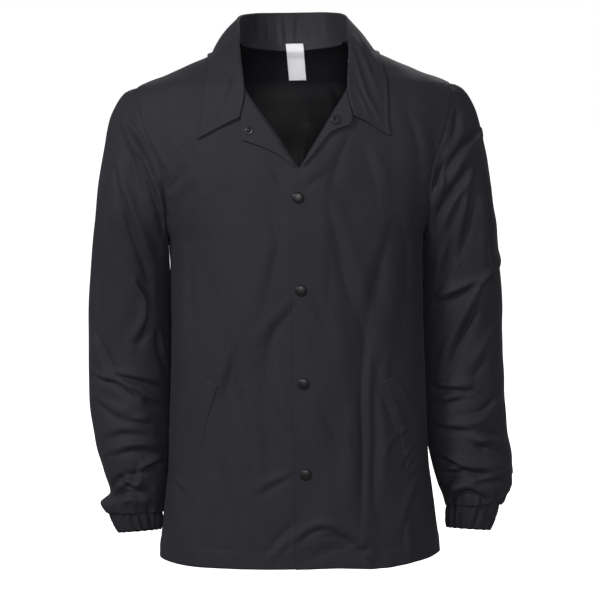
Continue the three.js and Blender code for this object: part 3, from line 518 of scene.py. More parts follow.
def back_relief(points, outs):
    whole_turn, whole_down = np.meshgrid(np.linspace(1.65, 4.63, 240), np.linspace(1, HEM_DOWN, 360))
    place = nearest_on(body_point(whole_turn, whole_down))
    height = creased(points, outs, BACK_CREASES, place) + uneven(points, 47, 80, 1.0)
    calm = ease((-points[..., 2] - 25) / 50)
    hem_stitch = -0.5 * np.exp(-(((-points[..., 2] - (HEM_DOWN - 27)) / 1.6) ** 2))
    hem_pull = uneven(points, 31, 21, 0.4) * np.exp(-(((-points[..., 2] - (HEM_DOWN - 20)) / 20) ** 2))
    return height * calm + hem_stitch + hem_pull


for side, (points, outs) in back_halves.items():
    relief = back_relief(points, outs)
    edge_down = -points[:, -1, 2]
    shoulder = points[:SHOULDER_ROWS, -1]
    armhole = points[(edge_down > TIP_DOWN - 3) & (edge_down < UNDERARM_DOWN + 3), -1]
    side_seam = points[edge_down > UNDERARM_DOWN - 3, -1]
    relief *= quiet_at(points, outs, (shoulder, armhole)) * quiet_at(points, outs, (side_seam,), 26)
    relief += seamed(points, outs, shoulder, 0.5, 0.5, 21)
    relief += seamed(points, outs, armhole, 1.0, 0.8, 25)
    relief += seamed(points, outs, side_seam, 0.4, 0.4, 24)
    points = points + outs * relief[..., None]
    points[..., 0] -= SIDE_OUT * beside_sleeve(points[..., 0], -points[..., 2])
    back_halves[side] = points, outs
left_half, right_half = back_halves[1], back_halves[-1]
back_points = np.concatenate([right_half[0][:, ::-1], left_half[0]], 1)
back_outs = np.concatenate([right_half[1][:, ::-1], left_half[1]], 1)
back = cloth_piece("back", back_points, back_outs, SHELL_WALL, shell_nylon, tube=True, inside=painted_shade_inside,
                   parted=True)
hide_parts("back")


# The sleeves. Each is one piece, sewn to a tube under the arm and set into the armhole, and
# it hangs in long folds from the shoulder that break above the cuff.

ARM_MIDDLE = (TIP_DOWN + UNDERARM_DOWN) / 2
ARM_REACH = (UNDERARM_DOWN - TIP_DOWN) / 2
SLEEVE_FADE = 0.24
# Down, outer side of the left and right sleeve, inner side of each, how far behind, half depth
SLEEVE = [
    (58, 218.5, 218.5, 183, 183, 0, 60), (65, 235, 235, 183, 183, 0, 62),
    (85, 250, 250, 183, 183, 0, 65), (101, 257.5, 257.5, 183, 183, 0, 67),
    (133, 265.5, 265.5, 183, 183, 0, 73), (168, 273, 273, 183, 183, 1, 74),
    (220, 280.5, 280.5, 182, 182, 5, 73), (270, 289.5, 287.5, 180.8, 180.8, 13, 70),
    (358, 295, 295, 178.7, 178.7, 23, 65), (430, 298, 299, 179.3, 179.3, 28, 62),
    (507, 299, 298, 181.5, 181.5, 26, 59), (560, 302, 293, 184.3, 183.4, 22, 56),
    (602, 309, 282, 191.5, 186.4, 18, 52), (634, 308, 272, 200, 190.6, 14, 47),
    (649, 301, 286, 206, 192.6, 13, 42), (664, 290, 277, 211, 195.2, 12, 37),
]
# Creases of the wearer's right sleeve, seen on the left of the photograph, front then hidden side
RIGHT_CREASES = [
    (2.6, 7, -1, [(-232, 104), (-208, 134), (-190, 160), (-184, 176)]),
    (2.8, 6, 1, [(-212, 156), (-196, 210), (-186, 246), (-182, 275)]),
    (2.8, 7, 1, [(-250, 170), (-234, 240), (-214, 306), (-206, 332)]),
    (3.6, 5.5, -1, [(-220, 328), (-209, 348), (-207, 370), (-212, 392), (-226, 416)]),
    (2.6, 6, 1, [(-200, 400), (-196, 432), (-184, 472)]),
    (3.0, 5, 1, [(-290, 462), (-278, 467), (-258, 474), (-233, 492)]),
    (2.8, 5, 1, [(-270, 458), (-228, 467), (-189, 482)]),
    (2.4, 5, 1, [(-232, 482), (-211, 499), (-186, 518)]),
    (2.0, 5, 1, [(-240, 524), (-211, 531)]),
    (2.8, 6, 1, [(-272, 576), (-230, 566), (-189, 578)]),
    (3.6, 5, -1, [(-270, 642), (-265, 620), (-252, 606), (-226, 599)]),
    (3.6, 5, 1, [(-226, 597), (-207, 592), (-191, 588)]),
    (2.6, 5, -1, [(-262, 638), (-241, 629), (-226, 634)]),
    (2.6, 5, 1, [(-256, 608), (-238, 622), (-216, 628)]),
    (2.4, 5, 1, [(-228, 586), (-235, 606), (-246, 622)]),
    (2.0, 9, -1, [(-266, 200), (-278, 320), (-280, 400)]),
    (1.8, 7, 1, [(-240, 118), (-224, 160), (-216, 200)]),
    (1.8, 7, -1, [(-284, 400), (-268, 440), (-256, 466)]),
    (1.8, 7, 1, [(-286, 500), (-262, 520), (-236, 524)]),
    (1.8, 6, 1, [(-276, 552), (-250, 544), (-216, 548)]),
]
LEFT_CREASES = [
    (3.0, 6, 1, [(262, 122), (238, 140), (220, 158), (196, 192)]),
    (3.0, 6, 1, [(244, 170), (214, 208), (198, 236), (188, 262)]),
    (3.2, 4.5, 1, [(200, 174), (194, 186), (188, 204)]),
    (3.4, 7, -1, [(293, 314), (268, 337), (242, 387), (224, 434), (210, 474)]),
    (3.0, 6, -1, [(250, 342), (222, 356), (196, 370)]),
    (2.6, 5, 1, [(192, 488), (217, 492), (246, 493)]),
    (2.0, 5, 1, [(197, 514), (217, 508), (236, 504)]),
    (2.4, 5, 1, [(193, 545), (217, 548), (245, 548)]),
    (2.6, 7, 1, [(246, 568), (258, 573), (270, 576)]),
    (3.2, 5.5, 1, [(194, 588), (219, 600), (244, 608), (290, 614)]),
    (3.0, 4.5, 1, [(194, 611), (216, 610), (238, 607)]),
    (2.6, 5, -1, [(200, 631), (216, 621), (236, 613)]),
    (2.4, 5, 1, [(252, 625), (279, 622), (306, 622)]),
    (3.0, 5, 1, [(213, 664), (222, 645), (235, 636), (250, 640), (266, 652)]),
    (2.6, 5, -1, [(262, 672), (284, 660), (301, 648)]),
    (1.8, 7, 1, [(213, 82), (223, 101), (220, 120), (212, 142)]),
    (2.0, 8, -1, [(262, 200), (270, 260), (276, 320)]),
    (2.0, 7, -1, [(216, 276), (206, 320), (196, 352)]),
    (1.8, 7, -1, [(284, 400), (266, 440), (250, 470)]),
    (1.8, 6, 1, [(284, 500), (262, 520), (230, 528)]),
    (2.0, 6, 1, [(290, 560), (272, 556), (250, 546)]),
    (2.6, 6, -1, [(247, 166), (242, 214), (234, 262), (229, 300)]),
]
# Creases on the sides of both sleeves that the photograph doesn't show
BEHIND_CREASES = [
    (4.0, 16, 0, [(286, 390), (250, 410), (208, 436)]),
    (4.0, 16, 0, [(288, 530), (250, 542), (210, 560)]),
    (2.8, 6, 1, [(240, 130), (214, 180), (198, 240)]),
    (2.8, 6, -1, [(262, 180), (240, 250), (214, 330)]),
    (3.0, 5.5, 1, [(286, 440), (256, 452), (212, 478)]),
    (3.0, 5.5, 1, [(280, 486), (240, 500), (204, 520)]),
    (3.0, 5.5, 1, [(276, 590), (240, 584), (206, 598)]),
    (2.8, 5, -1, [(268, 636), (244, 618), (214, 614)]),
    (2.4, 5, 1, [(262, 656), (240, 640), (222, 644)]),
]


# The forearms point forward a little, which lifts the front of their ends
SLEEVE_END = 664.0
SLEEVE_END_RAISE = 5.0
ARMHOLE_TURNING = 7


def sleeve_ring(side, round_, down):
    outer = through(SLEEVE, 1 if side > 0 else 2, down)
    inner = through(SLEEVE, 3 if side > 0 else 4, down)
    x = (outer + inner) / 2 + (outer - inner) / 2 * np.cos(round_)
    y = through(SLEEVE, 5, down) - through(SLEEVE, 6, down) * np.sin(round_)
    return np.stack([x, y, -down + 0 * x], -1)


def sleeve_base(side, round_, share):
    top = ARM_MIDDLE - ARM_REACH * np.cos(round_)
    down = top + (SLEEVE_END - SLEEVE_END_RAISE * np.sin(round_) - top) * share
    ahead = np.sin(round_) >= 0
    seam_x = np.where(ahead, through(ARMHOLE, 1, top), through(ARMHOLE, 2, top))
    seam_turn = turn_at(seam_x, top)
    seam = body_point(np.where(ahead, seam_turn, np.pi - seam_turn), top)
    lead = (1 - ease(share / SLEEVE_FADE))[..., None]
    return sleeve_ring(side, round_, down) + (seam - sleeve_ring(side, round_, top)) * lead


def outwards(points, tube=True):
    """Unit directions square to a grid of points."""
    across = np.gradient(points, axis=1)
    if tube:
        across[:, 0] = across[:, -1] = (points[:, 1] - points[:, -2]) / 2
    out = np.cross(np.gradient(points, axis=0), across)
    size = np.linalg.norm(out, axis=-1, keepdims=True)
    out = np.where(size > 1e-6, out / np.maximum(size, 1e-6), np.roll(out, -1, 0))
    return unit(out)


def unit(v):
    return v / np.linalg.norm(v, axis=-1, keepdims=True)


def sleeve_piece(side, creases, seed):
    name = "sleeve_left" if side > 0 else "sleeve_right"
    grid_round = np.linspace(0, 2 * np.pi, 141)
    round_, share = np.meshgrid(grid_round, np.linspace(0, 1, 226) ** 1.04)
    points = sleeve_base(side, round_, share) * [side, 1, 1]
    outs = -outwards(points) * side
    front_side = np.sin(grid_round) > 0.02
    behind_side = np.sin(grid_round) < -0.02
    height = creased(points, outs, creases, nearest_on(points[:, front_side]), 2.8 if side > 0 else 2.4)
    behind = [(deep, wide, ridge, [(x * side, down) for x, down in path])
              for deep, wide, ridge, path in BEHIND_CREASES]
    height += creased(points, outs, behind, nearest_on(points[:, behind_side]), 1.8)
    height += uneven(points, seed, 62, 1.2)
    # Cloth next to the body lies quiet, and so does the first stretch below the armhole seam
    height *= 0.12 + 0.88 * ease((np.cos(grid_round) + 0.96) / 0.35)
    height *= ease(share / 0.05)
    height += seamed(points, outs, points[0], 1.6, 0.7, 22 if side > 0 else 23)
    # The side next to the body rests against it
    resting = ease((-np.cos(grid_round) - 0.5) / 0.4)
    height += 0.9 * resting * ease((share - 0.2) / 0.1) * ease((0.8 - share) / 0.1)
    gathers = np.sin(17 * grid_round) + 0.5 * np.sin(11 * grid_round + 1.3) + 0.4 * np.sin(29 * grid_round)
    height += 1.0 * gathers * np.exp(-((1 - share) / 0.035) ** 2)
    points = points + outs * height[..., None]
    # The turning of the armhole seam lies inside the body
    tuck_down = ARM_MIDDLE - (ARM_REACH + ARMHOLE_TURNING) * np.cos(grid_round)
    seam_x = through(ARMHOLE, 1, ARM_MIDDLE - ARM_REACH * np.cos(grid_round))
    tuck_x = seam_x - ARMHOLE_TURNING * np.abs(np.sin(grid_round))
    tuck_turn = turn_at(tuck_x, tuck_down)
    tuck_turn = np.where(np.sin(grid_round) >= 0, tuck_turn, np.pi - tuck_turn)
    turning = body_point(tuck_turn, tuck_down) - body_out(tuck_turn, tuck_down) * (SHELL_WALL + 1.3)
    turning = turning * [side, 1, 1]
    points = np.concatenate([turning[None], points])
    outs = np.concatenate([outs[:1], outs])
    points[:, -1] = points[:, 0]
    piece = cloth_piece(name, points, outs, SHELL_WALL, shell_nylon, tube=True, inside=painted_shade_inside)
    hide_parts(name)
    return piece


sleeve_left = sleeve_piece(1, LEFT_CREASES, 61)
sleeve_right = sleeve_piece(-1, RIGHT_CREASES, 67)


# The cuffs. Each is the turned-up end of the sleeve with elastic inside, which gathers it.

CUFF_GATHERS = 17
CUFF_BEHIND = 12.0
CUFF_END_RAISE = 7.0
# Side, top and bottom, middle at each, half width at each, and how far the end is aslant
CUFFS = [
    ("left", 1, 664, 700, 250, 243, 37.5, 31, 3),
    ("right", -1, 664, 692, 236.2, 230.6, 37.5, 29.8, 2),
]
for side_name, side, top, bottom, top_x, bottom_x, top_half, bottom_half, tilt in CUFFS:
    # The first 4 mm lie inside the end of the sleeve
    round_, share = np.meshgrid(np.linspace(0, 2 * np.pi, CUFF_GATHERS * 16 + 1), np.linspace(-0.12, 1, 24))
    bulge = np.sin(np.pi * share.clip(0, 1))
    phase = CUFF_GATHERS * round_ + 0.7 * np.sin(3 * round_) + 0.35 * np.sin(share * 5 + 4 * round_)
    fullness = 1 + 0.35 * np.sin(5 * round_ + 1)
    gather = 1.7 * fullness * np.sin(phase) * (0.55 + 0.45 * bulge)
    pleat = 0.4 * np.sin(2.3 * phase + 1) * bulge
    casing = 1.6 * bulge ** 0.6 - 0.5 * np.exp(-((share - 0.5) / 0.05) ** 2)
    half = top_half + (bottom_half - top_half) * share + gather + pleat + casing
    down = top + (bottom - top) * share + tilt * share * np.cos(round_) + 0.5 * np.sin(phase) * share
    down = down - (SLEEVE_END_RAISE + (CUFF_END_RAISE - SLEEVE_END_RAISE) * share) * np.sin(round_)
    x = top_x + (bottom_x - top_x) * share + half * np.cos(round_)
    points = np.stack([x * side, CUFF_BEHIND - half * 0.93 * np.sin(round_), -down], -1)
    outs = -outwards(points) * side
    points[:, -1] = points[:, 0]
    cuff = cloth_piece(f"cuff_{side_name}", points, outs, SHELL_WALL, shell_nylon, tube=True)
    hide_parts(f"cuff_{side_name}")


# The collar. Two plies of the nylon, with its stand turned over to a pointed fall, pressed
# and topstitched. It lies on the back, the shoulders and the fronts.

COLLAR_WALL = 1.3
COLLAR_FOLD = 2.3
COLLAR_TUCK = 7.0
COLLAR_CLEAR = 1.0
# Seam to the neck, top of the fold and outer edge, from the middle of the back to the front
COLLAR = [
    ((0, 69, -7), (0, 80, 44), (0, 97, -24)),
    ((24, 66.5, -6.4), (26, 78, 44), (38, 94, -25)),
    ((58, 47, -3), (55, 60, 43), (79, 74, -25)),
    ((79, 4, 1), (75, 18, 37), (113, 20, -14)),
    ((79.5, -38, -9), (76, -18, 17), (119, -46, -29)),
    ((78, -64, -32), (75, -50, -14), (125, -73, -61)),
]
# Then on the fronts: fold and outer edge as x and down
COLLAR_FRONT = [((71.5, 66), (130, 102)), ((79, 103), (136, 130))]


def on_body(x, down, lift=0.0):
    down = np.asarray(down, float)
    turn = turn_at(np.asarray(x, float), down)
    return body_point(turn, down) + body_out(turn, down) * np.asarray(lift)[..., None]


def outside_body(points):
    down = np.clip(-points[..., 2], 0, HEM_DOWN)
    square = through(BODY, 4, down)
    depth = np.where(points[..., 1] < 0, through(BODY, 2, down), through(BODY, 3, down))
    half = through(BODY, 1, down)
    across, deep = np.abs(points[..., 0]) / half, np.abs(points[..., 1]) / depth
    return (across ** square + deep ** square) ** (1 / square) - 1


def lifted_clear(points, lift):
    """Moves points out until they are at least that far outside the body form."""
    for _ in range(4):
        here = outside_body(points)
        slope = np.stack([outside_body(points + 0.1 * np.eye(3)[k]) - here for k in range(3)], -1) * 10
        size = np.linalg.norm(slope, axis=-1)
        away = here / size
        short = np.where((away < lift) & (points[..., 2] <= 0), lift - away, 0)
        points = points + slope / size[..., None] * short[..., None]
    return points


def curve_through(stations, place):
    last = len(stations) - 1
    i = min(int(place), last - 1)
    t = place - i
    a, b = stations[i], stations[i + 1]
    before = stations[i - 1] if i > 0 else stations[1] * [-1, 1, 1]
    after = stations[i + 2] if i + 2 <= last else 2 * stations[last] - stations[last - 1]
    return 0.5 * (2 * a + (b - before) * t + (2 * before - 5 * a + 4 * b - after) * t**2
                  + (3 * a - before - 3 * b + after) * t**3)


stations = [[np.array(p, float) for p in row] for row in COLLAR]
for (fold_x, fold_down), (edge_x, edge_down) in COLLAR_FRONT:
    fold_turn = turn_at(fold_x, fold_down)
    fold_out = body_out(fold_turn, np.array(float(fold_down)))
    fold_point = body_point(fold_turn, np.array(float(fold_down)))
    edge_point = on_body(edge_x, edge_down, COLLAR_WALL + COLLAR_CLEAR + 1.0)
    away = edge_point - fold_point
    away = unit(away - fold_out * (away @ fold_out))
    seam_point = on_body(fold_x + COLLAR_TUCK * away[0], fold_down - COLLAR_TUCK * away[2], COLLAR_CLEAR)
    stations.append([seam_point, fold_point + fold_out * (COLLAR_CLEAR + COLLAR_FOLD), edge_point])
last_station = len(stations) - 1
seams, folds, edges = ([row[k] for row in stations] for k in range(3))


def collar_section(place):
    ahead = curve_through(folds, min(place + 0.1, last_station))
    along = unit(ahead - curve_through(folds, max(place - 0.1, 0)))
    if place == 0:
        along = np.array([1.0, 0, 0])
    seam = lifted_clear(curve_through(seams, place), COLLAR_CLEAR)
    fold = lifted_clear(curve_through(folds, place), COLLAR_CLEAR + COLLAR_FOLD)
    edge = curve_through(edges, place)
    up = unit(fold - seam)
    sideways = unit(np.cross(up, along))
    if sideways @ (edge - fold) < 0:
        sideways = -sideways
    inner = fold - sideways * COLLAR_FOLD
    outer = fold + sideways * COLLAR_FOLD
    stand = seam + (inner - seam) * np.linspace(0, 1, 12)[:-1, None]
    swing = np.linspace(0, np.pi, 9)[:, None]
    turned = fold - sideways * COLLAR_FOLD * np.cos(swing) + up * COLLAR_FOLD * np.sin(swing)
    t = np.linspace(0, 1, 34)[1:, None]
    bulge = 0.12 * max(np.linalg.norm(fold - seam) - COLLAR_TUCK, 0) * np.sin(np.pi * t)
    fall = outer + (edge - outer) * t + unit(up + sideways) * bulge
    fall = lifted_clear(fall, COLLAR_WALL + COLLAR_CLEAR + 1.0)
    return np.concatenate([lifted_clear(stand, COLLAR_CLEAR), turned, fall])


half_collar = np.array([collar_section(place) for place in np.linspace(0, last_station, 118)])
half_collar[0, :, 0] = 0
STAND_POINTS = 11
# Creases of the collar, as station and share of the section: depth, half width, side, line
LEFT_COLLAR_CREASES = [
    (-4.4, 5, 0, [(4.2, 0.45), (5.0, 0.62), (5.6, 0.85)]),
    (-3.8, 4.5, 0, [(5.0, 0.42), (5.8, 0.62), (6.4, 0.86)]),
    (-1.6, 4, 0, [(5.8, 0.45), (6.3, 0.58), (6.8, 0.66)]),
    (-1.8, 5, 0, [(3.4, 0.5), (4.0, 0.66), (4.6, 0.86)]),
]
RIGHT_COLLAR_CREASES = [
    (1.2, 6, 1, [(4.4, 0.46), (5.2, 0.6), (5.9, 0.8)]),
    (0.9, 5, -1, [(5.4, 0.44), (6.1, 0.6), (6.6, 0.78)]),
]
STAND_CREASES = [
    (1.1, 4, 1, [(1.7, 0.04), (1.85, 0.2)]), (1.2, 4, -1, [(0.75, 0.03), (0.85, 0.21)]),
    (1.2, 4, 1, [(0.25, 0.03), (0.4, 0.2)]), (1.0, 3.5, 1, [(1.25, 0.05), (1.3, 0.2)]),
]


def collar_side(side, creases):
    points = half_collar * [side, 1, 1]
    # The point of the wearer's left side is turned in a little
    if side > 0:
        toward_point = ease((np.linspace(0, last_station, len(points)) - 4.6) / 2.4)[:, None]
        outward = ease((np.linspace(0, 1, points.shape[1]) - 0.4) / 0.6)
        points[..., 0] -= 9 * toward_point * outward
        points = np.concatenate([points[:, :1], lifted_clear(points[:, 1:], COLLAR_WALL + COLLAR_CLEAR)], 1)
    outs = outwards(points, tube=False)
    if (outs[0, 1] @ [0, -1, 0]) < 0:
        outs = -outs
    count = points.shape[1]

    def place(station, share):
        row = int(round(station / last_station * (len(points) - 1)))
        return points[row, int(share * (count - 1))]

    on_fall = np.arange(count) > STAND_POINTS + 6
    height = creased(points, outs, creases, place, 1.0) * on_fall
    height += creased(points, outs, STAND_CREASES, place, 1.0) * (np.arange(count) < STAND_POINTS + 2)
    rest = uneven(points, 83 + side, 46, 0.55)
    fade = np.sin(np.pi * np.clip(np.arange(count) / (count - 1), 0, 1)) ** 0.5
    height += rest * fade * on_fall
    fall_length = np.linalg.norm(np.diff(points, axis=1), axis=2)[:, ::-1].cumsum(1)[:, ::-1]
    from_edge = np.hstack([fall_length, np.zeros((len(points), 1))])
    edge_stitch = -0.4 * np.exp(-(((from_edge - 6.5) / 1.4) ** 2))
    height += (0.35 * np.exp(-((from_edge / 2.2) ** 2)) + edge_stitch) * on_fall
    front_run = np.linalg.norm(np.diff(points, axis=0), axis=2)[::-1].cumsum(0)[::-1]
    from_front = np.vstack([front_run, np.zeros((1, count))])
    front_stitch = -0.4 * np.exp(-(((from_front - 6.5) / 1.4) ** 2)) * (from_edge > 6.5)
    height += front_stitch * on_fall
    return points + outs * height[..., None], outs


left_collar, left_collar_outs = collar_side(1, LEFT_COLLAR_CREASES)
right_collar, right_collar_outs = collar_side(-1, RIGHT_COLLAR_CREASES)
left_collar[0, :, 0] = right_collar[0, :, 0] = 0
middle = (left_collar[0] + right_collar[0]) / 2
left_collar[0] = right_collar[0] = middle
collar_points = np.concatenate([right_collar[::-1], left_collar[1:]])
collar_outs = np.concatenate([right_collar_outs[::-1], left_collar_outs[1:]])
collar = cloth_piece("collar", collar_points, collar_outs, COLLAR_WALL, collar_nylon)
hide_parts("collar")


# The lapels. Each is the front facing turned out above the top snap, one ply on the front.

LAPELS = [
    ("left", 1, [(68, 66), (48, 100), (27, 133), (7.5, 163)], [(68, 66), (75, 102), (71, 114)],
     [(71, 114), (44, 124), (24, 148), (3.5, 169.5)]),
    ("right", -1, [(67, 66), (46, 100), (24.5, 133), (5.5, 162)], [(67, 66), (75, 103), (76, 131)],
     [(76, 131), (43, 143), (15, 159), (4.6, 170)]),
]


def along_path(path, t):
    path = np.array(path, float)
    place = np.minimum(t * (len(path) - 1), len(path) - 1 - 1e-9)
    i = place.astype(int)
    return path[i] + (path[i + 1] - path[i]) * (place - i)[..., None]


def on_front(side, x, down, lift):
    """Points on a front with its creases; x is counted from the middle to the side of that front."""
    turn = turn_at(x, down)
    points = body_point(turn, down) * [side, 1, 1]
    outs = body_out(turn, down) * [side, 1, 1]
    over = overlap_lift(x, down) if side > 0 else 0
    height = front_relief(points, outs) + over + lift
    return points + outs * height[..., None], outs


lapel_points = {}
for side_name, side, roll, top, edge in LAPELS:
    t, v = np.meshgrid(np.linspace(0, 1, 64), np.linspace(0, 1, 30), indexing="ij")
    near, far = along_path(smooth_line(roll), t), along_path(smooth_line(edge), t)
    bend = along_path(smooth_line(top), v)
    straight = np.array(top[0]) + (np.array(top[2]) - np.array(top[0])) * v[..., None]
    spot = near + (far - near) * v[..., None] + ((1 - t) ** 3)[..., None] * (bend - straight)
    rise = 0.8 + 2.6 * np.sin(np.pi / 2 * v) * (1 - 0.6 * t)
    rise = rise - 2.4 * np.exp(-((v / 0.05) ** 2))
    rise += 0.35 * np.sin(t * 9 + 2 * v) * np.sin(np.pi * v)
    rise *= 1.25 if side > 0 else 0.75
    points, outs = on_front(side, spot[..., 0], spot[..., 1], SHELL_WALL + 0.9 + rise)
    lapel_points[side_name] = points, outs
    lapel = cloth_piece(f"lapel_{side_name}", points, outs, SHELL_WALL, collar_nylon)
    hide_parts(f"lapel_{side_name}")


# The pocket welts. Each is a folded strip that stands over a slanted pocket opening, sewn
# along its inner edge and at both ends.

WELT_OPEN = [(132, 459), (157, 520), (171, 596)]
WELT_SEWN = [(113, 465), (133, 527), (147, 600)]
for side_name, side in (("left", 1), ("right", -1)):
    t, v = np.meshgrid(np.linspace(0, 1, 90), np.linspace(0, 1, 22), indexing="ij")
    outer = along_path(smooth_line(WELT_OPEN), t)
    inner = along_path(smooth_line(WELT_SEWN), t)
    spot = inner + (outer - inner) * v[..., None]
    ends = np.minimum(t, 1 - t) * 144
    swell = 0.9 * np.exp(-(((1 - v) / 0.12) ** 2)) * ease(ends / 20) - 0.9 * np.exp(-((v / 0.07) ** 2))
    swell -= 0.6 * np.exp(-((ends / 1.5) ** 2))
    points, outs = on_front(side, spot[..., 0], spot[..., 1], SHELL_WALL + 0.7 + swell)
    welt = cloth_piece(f"welt_{side_name}", points, outs, SHELL_WALL, shell_nylon)
    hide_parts(f"welt_{side_name}")


# The neck label. A white woven label sewn by its top to the inside of the back neck, bare.

def woven_satin():
    """White satin-woven label: bright, soft gloss, fine cross threads."""
    material = bpy.data.materials.new("woven satin label")
    material.use_nodes = True
    material.node_tree.nodes.clear()
    place = add_node(material, "ShaderNodeUVMap", {"uv_map": "weave"})
    lines = add_node(material, "ShaderNodeMapping", values={"Scale": (60, 1400, 1)},
                     links={"Vector": place.outputs["UV"]})
    thread = add_node(material, "ShaderNodeTexNoise", values={"Scale": 1.0, "Detail": 2.0},
                      links={"Vector": lines.outputs["Vector"]})
    colour = add_node(material, "ShaderNodeMix", {"data_type": "RGBA"},
                      {"A": linear("#d9d8de"), "B": linear("#f0eff3")}, {"Factor": thread.outputs["Fac"]})
    bump = add_node(material, "ShaderNodeBump", values={"Strength": 0.3, "Distance": 0.0001},
                    links={"Height": thread.outputs["Fac"]})
    shader = add_node(material, "ShaderNodeBsdfPrincipled", values={"Roughness": 0.5, "IOR": 1.5},
                      links={"Base Color": colour.outputs["Result"], "Normal": bump.outputs["Normal"]})
    add_node(material, "ShaderNodeOutputMaterial", links={"Surface": shader.outputs["BSDF"]})
    return material


label_satin = woven_satin()
LABEL_WALL = 0.5
v, u = np.meshgrid(np.linspace(0, 1, 40), np.linspace(0, 1, 20), indexing="ij")
label_down = 52.5 * v - 1.6
label_x = -8 + 25 * u + 0.09 * label_down
# Its top end lies on the neck tape, and it hangs clear of the back, which slopes away from it
label_y = np.interp(label_down, [-1.6, 5, 10, 14, 20, 40, 57], [67.2, 65.4, 66.0, 68.6, 73.5, 84, 91])
label_y = label_y - 0.5 * np.sin(np.pi * v) * np.cos(2 * np.pi * u)
label_points = np.stack([label_x, label_y, -label_down], -1)
label_out = outwards(label_points, tube=False)
if label_out[20, 10, 1] > 0:
    label_out = -label_out
label = cloth_piece("neck_label", label_points, label_out, LABEL_WALL, label_satin)
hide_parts("neck_label")


# The neck tape. A narrow binding of the nylon sewn flat over the seam between the back and
# the collar stand, on the inside.

TAPE_WIDTH = 7.0
TAPE_WALL = 0.5
u, v = np.meshgrid(np.linspace(-70, 70, 120), np.linspace(0, 1, 10))
seam_line = np.array([lifted_clear(curve_through(seams, p), COLLAR_CLEAR) for p in np.linspace(0, 2.9, 60)])
tape_y = np.interp(np.abs(u), seam_line[:, 0], seam_line[:, 1])
tape_z = np.interp(np.abs(u), seam_line[:, 0], seam_line[:, 2])
fallen = v * TAPE_WIDTH
tape_y = tape_y - 0.3 - 0.25 * fallen - 0.4 * np.sin(np.pi * v)
tape_points = np.stack([u, tape_y, tape_z + TAPE_WIDTH / 2 - fallen], -1)
tape_outs = outwards(tape_points, tube=False)
if tape_outs[0, 60, 1] > 0:
    tape_outs = -tape_outs
neck_tape = cloth_piece("neck_tape", tape_points, tape_outs, TAPE_WALL, collar_nylon)


# The snaps. Four closed ones down the front, each a domed cap outside and a ring inside, and
# the open pair on the lapels: a socket on the left and a stud on the right. Lacquered brass.

def lacquered_brass():
    """Dark lacquered brass: satin, slightly olive, with a soft highlight."""
    material = bpy.data.materials.new("lacquered brass snap")
    material.use_nodes = True
    material.node_tree.nodes.clear()
    place = add_node(material, "ShaderNodeTexCoord")
    mottle = add_node(material, "ShaderNodeTexNoise", values={"Scale": 900.0, "Detail": 3.0},
                      links={"Vector": place.outputs["Object"]})
    colour = add_node(material, "ShaderNodeMix", {"data_type": "RGBA"},
                      {"A": linear("#0e0e0c"), "B": linear("#161614")}, {"Factor": mottle.outputs["Fac"]})
    rough = add_node(material, "ShaderNodeMapRange", values={"To Min": 0.34, "To Max": 0.46},
                     links={"Value": mottle.outputs["Fac"]})
    shader = add_node(material, "ShaderNodeBsdfPrincipled", values={"Metallic": 0.3, "Coat Weight": 0.15,
                                                                  "Coat Roughness": 0.35},
                      links={"Base Color": colour.outputs["Result"], "Roughness": rough.outputs["Result"]})
    add_node(material, "ShaderNodeOutputMaterial", links={"Surface": shader.outputs["BSDF"]})
    return material


snap_metal = lacquered_brass()
# Profiles, as distance from the middle and height. Those of the cap and the stud start on the axis.
CAP = [(0, 2.45), (2.5, 2.4), (4.7, 2.1), (6.3, 1.75), (7.3, 1.3), (7.8, 0.85), (7.9, 0.45), (7.6, 0.1),
       (7.0, 0), (0, 0)]
RING = [(2.2, 0), (6, 0), (6, 0.5), (5.6, 0.8), (5, 0.9), (2.6, 0.9), (2.2, 0.6), (2.2, 0)]
SOCKET = [(3.0, 0), (6.4, 0), (6.5, 0.5), (6.2, 1.1), (5.6, 1.6), (4.6, 1.9), (3.8, 1.85), (3.2, 1.5),
          (3.0, 1.0), (3.0, 0)]
STUD = [(0, 2.8), (1.0, 2.78), (1.7, 2.6), (2.2, 2.1), (2.1, 1.6), (2.4, 1.1), (3.6, 0.8), (5.4, 0.75),
        (6.2, 0.55), (6.3, 0.2), (6.0, 0), (0, 0)]


def turned_snap(name, profile, point, out):
    """A snap part, spun from its profile about the direction that it faces."""
    bm = bmesh.new()
    closed = profile[0] == profile[-1]
    corners = profile[:-1] if closed else profile
    line = [bm.verts.new((reach * 0.001, 0, height * 0.001)) for reach, height in corners]
    edges = [bm.edges.new(pair) for pair in zip(line, line[1:])]
    if closed:
        edges.append(bm.edges.new((line[-1], line[0])))
    bmesh.ops.spin(bm, geom=line + edges, cent=(0, 0, 0), axis=(0, 0, 1), angle=2 * np.pi, steps=40,
                   use_merge=True)
    bmesh.ops.remove_doubles(bm, verts=bm.verts, dist=1e-6)
    bmesh.ops.recalc_face_normals(bm, faces=bm.faces)
    turn = Vector((0, 0, 1)).rotation_difference(Vector(out)).to_matrix().to_4x4()
    bm.transform(Matrix.Translation(Vector(point) * 0.001) @ turn)
    piece = finished(bm, name, snap_metal)
    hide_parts(name)
    return piece


def front_spot(side, x, down, lift):
    """One point of a front and the direction that it faces."""
    points, outs = on_front(side, np.full((1, 1), float(x)), np.full((1, 1), float(down)), lift)
    return points[0, 0], outs[0, 0]


for i, (x, down) in enumerate(SNAPS, start=1):
    spot, out = front_spot(1, x, down, 0.25)
    turned_snap(f"snap_cap_{i}", CAP, spot, out)
    spot, out = front_spot(-1, -x, down, -SHELL_WALL - 0.2)
    turned_snap(f"snap_back_{i}", RING, spot, -out)
